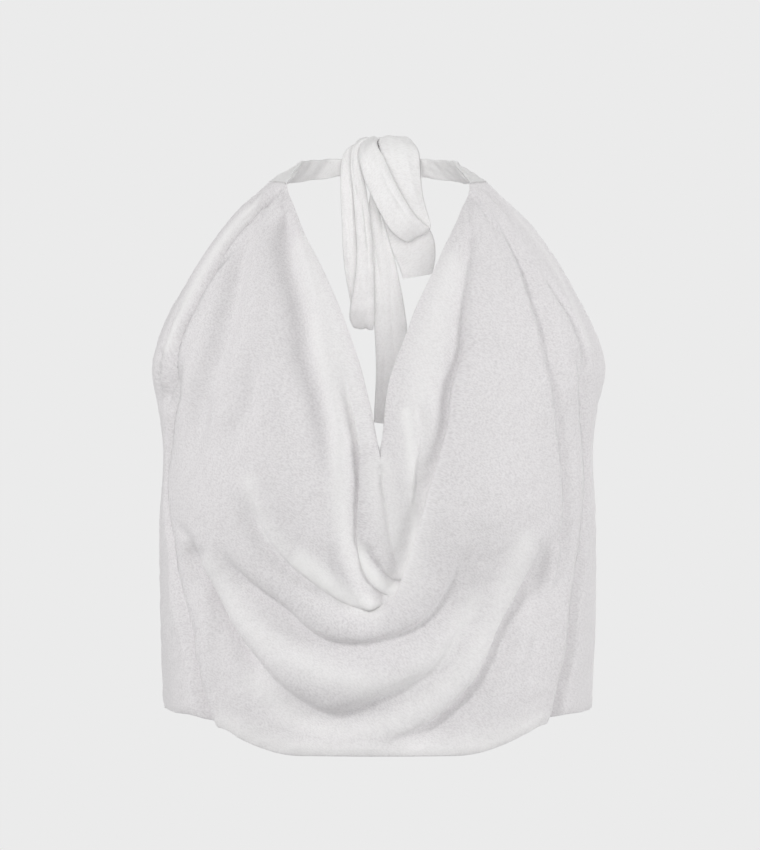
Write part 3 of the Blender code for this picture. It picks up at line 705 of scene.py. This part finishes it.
def front_top_edge():
    """The front's top edge from the left seam to the right one: armhole, strap seam, neckline,
    strap seam, armhole, as (share of the way to the side edge, height)."""
    armhole = np.stack([girth(np.radians(column(ARMHOLE, "turn_deg"))), column(ARMHOLE, "z")], axis=1)
    side = through(armhole, ARMHOLE_STEPS + 1)
    side[:, 0] = 1.0
    inner = shares([STRAP_SEAM_INNER])
    strap = through(np.concatenate([side[-1:], inner]), STRAP_SEAM_STEPS + 1)
    flip = np.array([-1, 1])
    foot = shares([NECKLINE_FOOT])
    left = neckline_edge(np.concatenate([inner * flip, shares(NECKLINE_LEFT), foot]))
    right = neckline_edge(np.concatenate([inner, shares(NECKLINE_RIGHT), foot]))
    return np.concatenate(
        [side * flip, (strap * flip)[1:], left[1:], right[::-1][1:], strap[::-1][1:], side[::-1][1:]]
    )


def front_hem_z(turn):
    """The front hem's height: level by the seams, lower across the middle."""
    share = (HEM_DROP_STARTS - np.abs(turn)) / (HEM_DROP_STARTS - HEM_DROP_ENDS)
    return SIDE_HEM_Z - FRONT_HEM_DROP * smooth_step(share)


def front_places():
    """Turn and height for each point of the front's grid. A column runs straight from the top edge to
    the hem in its share of the way to the side edge, and the rows soon lose the top edge's shape."""
    top = front_top_edge()
    hem_share = np.linspace(-1, 1, len(top))
    hem_turn = turn_at(hem_share * side_girth(SIDE_HEM_Z))
    down = np.linspace(0, 1, FRONT_ROWS + 1)[:, None]
    edge_shape = (top[:, 1] - UNDERARM_Z) * (1 - down) ** TOP_EDGE_FADE
    z = UNDERARM_Z * (1 - down) + front_hem_z(hem_turn) * down + edge_shape
    share = top[:, 0] * (1 - down) + hem_share * down
    return turn_at(share * side_girth(z)), z


def back_places():
    """Turn and height for each point of the back's grid, from its scooped top edge to a level hem."""
    seam = girth(math.pi / 2) - SIDE_SEAM_GAP / 2
    across = np.linspace(-seam, seam, BACK_COLUMNS + 1)
    dip = BACK_TOP_DIP * (1 - smooth_step(np.abs(across / seam)) ** BACK_DIP_POWER)
    down = np.linspace(0, 1, BACK_ROWS + 1)[:, None]
    z = (UNDERARM_Z - BACK_CORNER_DROP - dip) * (1 - down) + SIDE_HEM_Z * down
    return np.broadcast_to(turn_at(across), z.shape), z


def paleness(strips, place):
    """Painted highlight: how much paler the colour is painted, the most that any strip gives,
    its share on its line and 0 at its reach.
    """
    most = np.zeros(place.shape[:-1])
    for strip in strips:
        line = through(on_cloth(strip.points), CREASE_SAMPLES)
        close, away, _, _ = nearest_on(line, place, strip.reach)
        here = strip.share * (1 - smooth_step(np.linalg.norm(away, axis=1) / strip.reach))
        most[close] = np.maximum(most[close], here)
    return most


def seam_ease(place):
    """0 along the side seams, so that the panels meet, and 1 away from them and above the underarm."""
    below_underarm = smooth_step((UNDERARM_Z + UNDERARM_FADE - place[..., 1]) / UNDERARM_FADE)
    to_seam = np.abs(girth(math.pi / 2) - np.abs(place[..., 0]))
    free = SEAM_FLAT + SEAM_EASE
    distance = to_seam * below_underarm + free * (1 - below_underarm)
    return smooth_step((distance - SEAM_FLAT) / SEAM_EASE)


def eased_from(line, place, reach):
    """0 on a line of the cloth, and smoothly 1 at the reach away from it."""
    close, away, _, _ = nearest_on(np.asarray(line), place, reach)
    ease = np.ones(place.shape[:-1])
    ease[close] = smooth_step(np.linalg.norm(away, axis=1) / reach)
    return ease


def front_relief(place):
    """Folds, swells, turned edges and unevenness of the front: how far they move it along its outward
    direction, and along its surface."""
    folds, slide = all_folds(FRONT_FOLDS, place)
    total = sum(swell_field(swell, place) for swell in FRONT_SWELLS)
    for waves in FRONT_RUMPLES:
        total = total + rumple(place, *waves)
    foot = on_cloth([NECKLINE_FOOT])
    foot_ease = eased_from(np.concatenate([foot, foot - (0, 1)]), place, FOOT_EASE)
    armhole = np.stack([girth(np.radians(column(ARMHOLE, "turn_deg"))), column(ARMHOLE, "z")], axis=1)
    ease = seam_ease(place)
    free = 1.0
    seams = []
    for points in (NECKLINE_LEFT, NECKLINE_RIGHT):
        side = np.sign(points[0][0])
        strap = on_cloth([(side * STRAP_SEAM_INNER[0], STRAP_SEAM_INNER[1])])
        edge = through(np.concatenate([strap, on_cloth(points), foot]), CREASE_SAMPLES)
        total = total + foot_ease * turned_edge(edge, place, NECKLINE_TURN_IN, NECKLINE_TURN_BREADTH)
        edge = through(armhole * (side, 1), CREASE_SAMPLES)
        total = total + turned_edge(edge, place, ARMHOLE_TURN_IN, ARMHOLE_TURN_BREADTH)
        ease = ease * eased_from(edge[:2], place, UNDERARM_EASE)
        free = free * eased_from(edge, place, EDGE_EASE)
        seams.append(np.concatenate([strap, armhole[-1:] * (side, 1)]))
    for seam in seams:
        strap_ease = eased_from(seam, place, STRAP_EASE)
        total = total * strap_ease
        free = free * strap_ease
    across = np.linspace(-1, 1, CREASE_SAMPLES) * side_girth(SIDE_HEM_Z)
    hem = np.stack([across, front_hem_z(turn_at(across))], axis=1)
    total = total + turned_edge(hem, place, HEM_TURN_IN, HEM_TURN_BREADTH)
    return (folds + total) * ease, slide * (ease * free)[..., None]


def back_relief(place):
    """Folds, swells, turned edges and unevenness of the back: how far they move it along its outward
    direction, and along its surface."""
    total, slide = all_folds(BACK_FOLDS, place)
    total = total + sum(swell_field(swell, place) for swell in BACK_SWELLS)
    for waves in BACK_RUMPLES:
        total = total + rumple(place, *waves)
    total = total + turned_edge(place[0], place, ARMHOLE_TURN_IN, ARMHOLE_TURN_BREADTH)
    total = total + turned_edge(place[-1], place, HEM_TURN_IN, HEM_TURN_BREADTH)
    ease = seam_ease(place)
    return total * ease, slide * ease[..., None]


def grid_normals(points, facing):
    """Outward directions of a grid of points: the cross product of its slopes along columns and rows,
    turned to the side on which facing lies. Where a column runs almost along its row, facing itself."""
    across = unit(np.gradient(points, axis=1))
    down = unit(np.gradient(points, axis=0))
    normal = np.cross(across, down)
    normal = normal * np.sign((normal * facing).sum(-1).mean())
    trust = smooth_step(np.linalg.norm(normal, axis=-1, keepdims=True) / SKINNY)
    return unit(unit(normal) * trust + facing * (1 - trust))


def evened(vectors, reach):
    """Directions along a line, each the mean of its neighbours up to reach steps away."""
    padded = np.pad(vectors, ((reach, reach), (0, 0)), mode="edge")
    return unit(sum(padded[k:k + len(vectors)] for k in range(2 * reach + 1)))


def softened(sink, reach):
    """A sink for the inside of the cloth: the deepest up to reach steps away, and then the mean of it,
    both along the columns and along the rows. The first and last rows keep their own."""
    own = sink
    for choose in (np.min, np.mean):
        for axis in (0, 1):
            rolled = np.moveaxis(sink, axis, 0)
            padded = np.pad(rolled, ((reach, reach), (0, 0)), mode="edge")
            near = [padded[k:k + len(rolled)] for k in range(2 * reach + 1)]
            sink = np.moveaxis(choose(near, axis=0), 0, axis)
    row = np.arange(len(own))[:, None]
    return own + (sink - own) * smooth_step(np.minimum(row, row[::-1]) / INSIDE_EASE)


def rolled_lines(edge, normal, inward, radius, tuck):
    """Lines of points that carry a cloth edge on round half a circle to the inside, then back under.
    A point is centre + normal * radius * cosine + outward * radius * sine, with the centre one radius in."""
    along = unit(np.gradient(edge, axis=0))
    outward = unit(np.cross(along, normal))
    outward *= np.sign((outward * -inward).sum())
    lines, normals = [], []
    for angle in np.radians(ROLL_ANGLES):
        turned = normal * math.cos(angle) + outward * math.sin(angle)
        lines.append(edge - normal * radius + turned * radius)
        normals.append(turned)
    lines.append(edge - normal * radius * TUCK_SINK - outward * tuck)
    normals.append(-normal)
    return lines, normals


def with_rolled_edges(points, normals, radius, tuck):
    """A grid carried on past all four of its edges by rolled_lines."""
    for _ in range(2):
        first, first_normals = rolled_lines(points[0], normals[0], points[1] - points[0], radius, tuck)
        last, last_normals = rolled_lines(points[-1], normals[-1], points[-2] - points[-1], radius, tuck)
        points = np.concatenate([first[::-1], points, last])
        normals = np.concatenate([first_normals[::-1], normals, last_normals])
        points, normals = points.swapaxes(0, 1), normals.swapaxes(0, 1)
    return points


def grid_quads(rows, columns, closed=False):
    """The quads of a grid of points. With closed, the last column joins the first."""
    index = np.arange(rows * columns).reshape(rows, columns)
    if closed:
        index = np.concatenate([index, index[:, :1]], axis=1)
    quads = np.stack([index[:-1, :-1], index[1:, :-1], index[1:, 1:], index[:-1, 1:]], axis=-1)
    return quads.reshape(-1, 4)


def add_cloth(name, points, quads, cloth_place, finish, pale=None):
    """A smooth mesh from an array of points in millimetres, with a UV map that gives each point's
    place on the flat cloth in metres, and, when given, how much painted highlight lightens its colour there."""
    points = points.reshape(-1, 3) * MM
    flat = cloth_place.reshape(-1, 2)[quads.ravel()] * MM
    mesh = bpy.data.meshes.new(name)
    mesh.vertices.add(len(points))
    mesh.vertices.foreach_set("co", points.astype(np.float32).ravel())
    mesh.loops.add(quads.size)
    mesh.loops.foreach_set("vertex_index", quads.astype(np.int32).ravel())
    mesh.polygons.add(len(quads))
    mesh.polygons.foreach_set("loop_start", np.arange(0, quads.size, 4, dtype=np.int32))
    mesh.polygons.foreach_set("use_smooth", np.ones(len(quads), bool))
    mesh.update(calc_edges=True)
    layer = mesh.uv_layers.new(name="cloth")
    layer.data.foreach_set("uv", flat.astype(np.float32).ravel())
    if pale is not None:
        nap = mesh.attributes.new("paleness", "FLOAT", "POINT")
        nap.data.foreach_set("value", pale.astype(np.float32).ravel())
    mesh.materials.append(finish)
    built = bpy.data.objects.new(name, mesh)
    bpy.context.scene.collection.objects.link(built)
    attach(built, "root")
    return built


def add_panel(name, turn, z, depth_name, relief, strips, finish):
    """A doubled panel as two sheets: the outside with its edges rolled round, and the inside."""
    place = np.stack([girth(turn), z], axis=-1)
    # Painted highlight: how much paler the colour is painted at each place, on lit banks and crests
    pale = paleness(strips, place)
    sink, slide = relief(place)
    facing = ring_normal(turn, z, depth_name)
    inside = ring_point(turn, z, depth_name) + facing * softened(sink, INSIDE_REACH)[..., None]
    every = (slice(None, None, INSIDE_STEP), slice(None, None, INSIDE_STEP))
    inside = (inside - grid_normals(inside, facing) * BODY_CLOTH)[every]
    turn = turn_at(place[..., 0] + slide[..., 0])
    z = z + slide[..., 1]
    facing = ring_normal(turn, z, depth_name)
    points = ring_point(turn, z, depth_name) + facing * sink[..., None]
    normals = grid_normals(points, facing)
    for row in (0, -1):
        normals[row] = evened(normals[row], EDGE_REACH)
    outside = with_rolled_edges(points, normals, EDGE_RADIUS, EDGE_TUCK)
    added = [(new - old) // 2 for new, old in zip(outside.shape[:2], place.shape[:2])]
    pad = [(count, count) for count in added]
    outside_place = np.pad(place, pad + [(0, 0)], mode="edge")
    outside_highlight = np.pad(pale, pad, mode="edge")
    quads = grid_quads(*outside.shape[:2])
    inside_quads = grid_quads(*inside.shape[:2])
    if depth_name == "back_depth":
        quads = quads[:, ::-1]
    else:
        inside_quads = inside_quads[:, ::-1]
    pieces = (
        add_cloth(name + "_outside", outside, quads, outside_place, finish, outside_highlight),
        add_cloth(name + "_inside", inside, inside_quads, place[every], finish, pale[every]),
    )
    for piece in pieces:
        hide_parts(name)
    return pieces


def breadth_shares():
    """Shares from -1 to 1 across a pressed tube, closer together near its two edges."""
    t = np.linspace(-1, 1, TIE_BREADTH_STEPS + 1)
    return np.sin(t * math.pi / 2) * EDGE_CROWDING + t * (1 - EDGE_CROWDING)


def pressed_tube(edge_one, edge_two, cup, creases, seed):
    """A tube pressed flat between two edges. Across its breadth s goes from -1 to 1. The sheet bows out
    of flat by cup * (1 - s * s), less a bell for each crease, and its half thickness is
    TIE_CLOTH / 2 * root of (1 - s to the power TUBE_POWER)."""
    s = breadth_shares()
    middle = (edge_one + edge_two) / 2
    half = (edge_two - edge_one) / 2
    out = unit(np.cross(np.gradient(middle, axis=0), half))
    bow = cup[:, None] * (1 - s**2)[None, :]
    length = walked(middle)
    free = np.minimum(1, np.minimum(length, length[-1] - length) / END_FADE)[:, None]
    for number, crease in enumerate(creases):
        wander = crease.share + CREASE_WANDER * np.sin(length / WANDER_LENGTH + 2 * number + seed)
        deep = DEPTH_MEAN + DEPTH_SWING * np.sin(length / DEPTH_LENGTH + 3 * number + seed)
        bow = bow - free * (crease.depth * deep)[:, None] * np.exp(
            -(((s[None, :] - wander[:, None]) / crease.breadth) ** 2)
        )
    place = np.stack(np.broadcast_arrays(length[:, None], (s * TIE_HALF_BREADTH)[None, :]), axis=-1)
    bow = bow + free * rumple(place, seed, *TIE_RUMPLE)
    sheet = middle[:, None] + half[:, None] * s[None, :, None] + out[:, None] * bow[..., None]
    normal = unit(np.cross(np.gradient(sheet, axis=0), np.gradient(sheet, axis=1)))
    swell = normal * (TIE_CLOTH / 2 * np.sqrt(np.maximum(0, 1 - s**TUBE_POWER)))[None, :, None]
    return np.concatenate([sheet + swell, (sheet - swell)[:, -2:0:-1]], axis=1)


def add_tie(name, ring, breadth, node, finish):
    """A piece of tie from its rings: the quads round it and a row of quads over each end. The first and
    the last quad of such a row name one corner twice. Gives the piece and its length."""
    rows, around = ring.shape[:2]
    quads = grid_quads(rows, around, closed=True)
    one_side = np.arange(TIE_BREADTH_STEPS + 1)
    other_side = (around - one_side) % around
    cap = np.stack([one_side[:-1], one_side[1:], other_side[1:], other_side[:-1]], axis=1)
    quads = np.concatenate([quads, cap[:, ::-1], cap + (rows - 1) * around])
    length = walked(ring[:, :TIE_BREADTH_STEPS + 1].mean(1))
    across = np.concatenate([breadth_shares(), 2 - breadth_shares()[1:-1]]) * breadth / 2
    cloth_place = np.stack(np.broadcast_arrays(across[None, :], length[:, None]), axis=-1)
    built = add_cloth(name, ring, quads, cloth_place, finish)
    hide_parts(node)
    return built, length[-1]


def band_ring(side):
    """One half of the neck band. side is 1 for the right half and -1 for the left."""
    rows = through(np.array(BAND, float), BAND_STEPS + 1)
    mirror = np.array([side, 1, 1])
    cup = BAND_CUP * side * np.sin(np.linspace(0, math.pi, BAND_STEPS + 1))
    return pressed_tube(rows[:, :3] * mirror, rows[:, 3:] * mirror, cup, BAND_CREASES, 5 + side)


def bow_ring(table, steps, creases, seed):
    """One strip of the bow, through its table's stations."""
    rows = np.array(table, float)
    reach = walked((rows[:, :3] + rows[:, 3:6]) / 2)
    rows = hermite(reach, rows, np.linspace(0, reach[-1], steps + 1))
    return pressed_tube(rows[:, :3], rows[:, 3:6], rows[:, 6], creases, seed)


def knot_surface():
    """The knot: a squared ball, each coordinate a half size times cosines and sines raised to
    KNOT_POWER with their sign kept, with nearly upright pleats pressed into it."""
    def squared(wave):
        return np.sign(wave) * np.abs(wave) ** KNOT_POWER

    rise = np.linspace(-math.pi / 2, math.pi / 2, KNOT_ROWS)[:, None]
    turn = np.linspace(0, 2 * math.pi, KNOT_AROUND, endpoint=False)[None, :]
    ball = np.stack(
        [
            squared(np.cos(rise)) * squared(np.cos(turn)),
            squared(np.cos(rise)) * squared(np.sin(turn)),
            np.broadcast_to(squared(np.sin(rise)), (KNOT_ROWS, KNOT_AROUND)),
        ],
        axis=-1,
    ) * KNOT_HALF_SIZES
    x, z = ball[..., 0], ball[..., 2]
    pleats = sum(np.exp(-(((x - PLEAT_LEAN * z - at) / PLEAT_BREADTH) ** 2)) for at in KNOT_PLEATS)
    ball = ball * (1 - PLEAT_DEPTH * pleats[..., None])
    return ball + KNOT_CENTRE


class Link:
    """A node's output in a material. Arithmetic on links and numbers adds Math nodes."""

    def __init__(self, tree, socket):
        self.tree = tree
        self.socket = socket

    def math(self, operation, first, second):
        return add_node(self.tree, "ShaderNodeMath", {"operation": operation}, {0: first, 1: second})

    def __add__(self, other):
        return self.math("ADD", self, other)

    __radd__ = __add__

    def __sub__(self, other):
        return self.math("SUBTRACT", self, other)

    def __rsub__(self, other):
        return self.math("SUBTRACT", other, self)

    def __mul__(self, other):
        return self.math("MULTIPLY", self, other)

    __rmul__ = __mul__


def add_node(tree, kind, settings, inputs, output=0):
    """Adds a node: its settings first, then its inputs, each a link or a value. Gives one output."""
    node = tree.nodes.new(kind)
    for name, value in settings.items():
        setattr(node, name, value)
    for name, value in inputs.items():
        if isinstance(value, Link):
            tree.links.new(value.socket, node.inputs[name])
        else:
            node.inputs[name].default_value = value
    return Link(tree, node.outputs[output])


def fibre_field(tree, place, angle_deg, across, along, detail):
    """Noise drawn out along one direction of the cloth, as brushed fibres lie."""
    turned = add_node(
        tree,
        "ShaderNodeMapping",
        {"vector_type": "TEXTURE"},
        {"Vector": place, "Rotation": (0, 0, math.radians(angle_deg)), "Scale": (along, across, 1.0)},
    )
    noise = {"Vector": turned, "Scale": 1.0, "Detail": detail, "Roughness": 0.55}
    return add_node(tree, "ShaderNodeTexNoise", {"noise_dimensions": "2D"}, noise)


def mixed_colours(tree, share, first, second):
    """A Mix node for colours: its share is input 0, its colours are inputs 6 and 7, its result output 2."""
    return add_node(tree, "ShaderNodeMix", {"data_type": "RGBA"}, {0: share, 6: first, 7: second}, output=2)


def brushed_knit(name, light, dark, highlight_colour, nap_depth):
    """Brushed knit: two crossed layers of short fibres over clumps of nap, in colour and in bump, and
    a painted highlight mixed into the colour where the mesh carries one.
    """
    material = bpy.data.materials.new(name)
    material.use_nodes = True
    tree = material.node_tree
    shader = tree.nodes["Principled BSDF"]
    place = add_node(tree, "ShaderNodeUVMap", {"uv_map": "cloth"}, {})
    falling = fibre_field(tree, place, angle_deg=-36, across=0.0008, along=0.0021, detail=2.0)
    rising = fibre_field(tree, place, angle_deg=26, across=0.0008, along=0.0018, detail=2.0)
    clumps = fibre_field(tree, place, angle_deg=-30, across=0.0026, along=0.0040, detail=1.0)
    patches = fibre_field(tree, place, angle_deg=70, across=0.012, along=0.020, detail=2.0)
    nap = 0.52 * falling + 0.30 * rising + 0.18 * clumps
    tone = add_node(
        tree,
        "ShaderNodeMapRange",
        {"interpolation_type": "SMOOTHSTEP"},
        {"Value": nap + 0.08 * (patches - 0.5), "From Min": 0.34, "From Max": 0.60},
    )
    # Painted highlight: the colour goes towards the highlight colour where banks and crests of the folds
    # catch the light
    pale = add_node(tree, "ShaderNodeAttribute", {"attribute_name": "paleness"}, {}, output="Fac")
    brushed = mixed_colours(tree, tone, dark, light)
    colour = mixed_colours(tree, pale, brushed, highlight_colour)
    tree.links.new(colour.socket, shader.inputs["Base Color"])
    bump = add_node(tree, "ShaderNodeBump", {}, {"Strength": 1.0, "Distance": nap_depth, "Height": nap})
    tree.links.new(bump.socket, shader.inputs["Normal"])
    shader.inputs["Roughness"].default_value = 0.92
    shader.inputs["Specular IOR Level"].default_value = 0.2
    shader.inputs["Sheen Weight"].default_value = 0.4
    shader.inputs["Sheen Roughness"].default_value = 0.4
    return material


def add_area_light(name, place, aim, size, energy):
    """A soft square light that looks from its place at its aim."""
    light = bpy.data.lights.new(name, "AREA")
    light.shape = "SQUARE"
    light.size = size
    light.energy = energy
    lamp = bpy.data.objects.new(name, light)
    lamp.location = place
    lamp.rotation_euler = (Vector(aim) - Vector(place)).to_track_quat("-Z", "Y").to_euler()
    bpy.context.scene.collection.objects.link(lamp)
    return lamp


def add_studio(left_out):
    """Camera, pale surroundings, a pale floor, and the lamps, which leave one collection out."""
    scene = bpy.context.scene
    scene.view_settings.view_transform = "Standard"
    lens = bpy.data.cameras.new("camera")
    lens.sensor_fit = "VERTICAL"
    lens.sensor_height = FRAME_HEIGHT
    lens.lens = CAMERA_LENS
    camera = bpy.data.objects.new("camera", lens)
    camera.location = CAMERA_PLACE
    camera.rotation_euler = (math.pi / 2, 0, 0)
    scene.collection.objects.link(camera)
    scene.camera = camera

    world = bpy.data.worlds.new("pale_studio")
    scene.world = world
    world.use_nodes = True
    tree = world.node_tree
    tree.nodes.clear()
    direction = add_node(tree, "ShaderNodeTexCoord", {}, {}, output="Generated")
    height = add_node(tree, "ShaderNodeSeparateXYZ", {}, {"Vector": direction}, output="Z")
    glow = add_node(
        tree,
        "ShaderNodeMapRange",
        {},
        {"Value": height, "From Min": -1.0, "From Max": 1.0, "To Min": LOW_GLOW, "To Max": HIGH_GLOW},
    )
    seen = add_node(tree, "ShaderNodeBackground", {}, {"Color": BACKDROP_COLOUR, "Strength": 1.0})
    lit = add_node(tree, "ShaderNodeBackground", {}, {"Color": (1, 1, 1, 1), "Strength": glow})
    is_seen = add_node(tree, "ShaderNodeLightPath", {}, {}, output="Is Camera Ray")
    both = add_node(tree, "ShaderNodeMixShader", {}, {0: is_seen, 1: lit, 2: seen})
    output = tree.nodes.new("ShaderNodeOutputWorld")
    tree.links.new(both.socket, output.inputs["Surface"])

    for lamp in LAMPS:
        add_area_light(*lamp).light_linking.receiver_collection = left_out

    rim = np.linspace(0, 2 * math.pi, FLOOR_SIDES, endpoint=False)
    rim_z = np.full(FLOOR_SIDES, FLOOR_Z)
    ring = np.stack([FLOOR_RADIUS * np.cos(rim), FLOOR_RADIUS * np.sin(rim), rim_z], axis=1)
    mesh = bpy.data.meshes.new("floor")
    mesh.from_pydata(ring.tolist(), [], [list(range(FLOOR_SIDES))])
    floor = bpy.data.objects.new("floor", mesh)
    scene.collection.objects.link(floor)
    paint = bpy.data.materials.new("pale_floor")
    paint.use_nodes = True
    shader = paint.node_tree.nodes["Principled BSDF"]
    shader.inputs["Base Color"].default_value = (0.0, 0.0, 0.0, 1.0)
    shader.inputs["Roughness"].default_value = 1.0
    shader.inputs["Specular IOR Level"].default_value = 0.0
    shader.inputs["Emission Color"].default_value = BACKDROP_COLOUR
    shader.inputs["Emission Strength"].default_value = 1.0
    mesh.materials.append(paint)
    # The floor only shows: it sheds no light on the cloth
    floor.visible_diffuse = False
    floor.visible_glossy = False
    floor.visible_shadow = False


ties = bpy.data.collections.new("ties")
add_studio(ties)

body_knit = brushed_knit("body_knit", BODY_LIGHT, BODY_DARK, PAINTED_HIGHLIGHT_COLOUR, BODY_NAP)
tie_knit = brushed_knit("tie_knit", TIE_LIGHT, TIE_DARK, PAINTED_HIGHLIGHT_COLOUR, TIE_NAP)

front_cloth = add_panel("front", *front_places(), "front_depth", front_relief, FRONT_PAINTED_HIGHLIGHTS, body_knit)
back_cloth = add_panel("back", *back_places(), "back_depth", back_relief, (), body_knit)

TieCut = namedtuple("TieCut", "name node ring breadth")
TIES = (
    TieCut("neck_band_left_tie", "neck_band_left", band_ring(-1), 20),
    TieCut("neck_band_right_tie", "neck_band_right", band_ring(1), 20),
    TieCut("loop_left_tie", "loop_left", bow_ring(LOOP_LEFT, LOOP_STEPS, LOOP_LEFT_CREASES, 1), 20),
    TieCut("loop_right_tie", "loop_right", bow_ring(LOOP_RIGHT, LOOP_STEPS, LOOP_RIGHT_CREASES, 2), 20),
    TieCut("tail_long_tie", "tail_long", bow_ring(TAIL_LONG, TAIL_STEPS, TAIL_LONG_CREASES, 3), 30),
    TieCut("tail_short_tie", "tail_short", bow_ring(TAIL_SHORT, TAIL_STEPS, TAIL_SHORT_CREASES, 4), 22),
)
for tie in TIES:
    piece, length = add_tie(tie.name, tie.ring, tie.breadth, tie.node, tie_knit)

knot_across = np.linspace(0, KNOT_GIRTH, KNOT_AROUND)[None, :]
knot_up = np.linspace(0, KNOT_RISE, KNOT_ROWS)[:, None]
knot_place = np.stack(np.broadcast_arrays(knot_across, knot_up), axis=-1)
knot_quads = grid_quads(KNOT_ROWS, KNOT_AROUND, closed=True)
knot_piece = add_cloth("knot_tie", knot_surface(), knot_quads[:, ::-1], knot_place, tie_knit)
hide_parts("knot")

# The ties look brighter than the body, so they have lamps of their own, and the others leave them out
tie_lit = bpy.data.collections.new("tie_lit")
for lamp in TIE_LAMPS:
    add_area_light(*lamp).light_linking.receiver_collection = tie_lit
for piece in bpy.data.objects:
    if piece.name.endswith("_tie"):
        ties.objects.link(piece)
        tie_lit.objects.link(piece)
for member in ties.collection_objects:
    member.light_linking.link_state = "EXCLUDE"
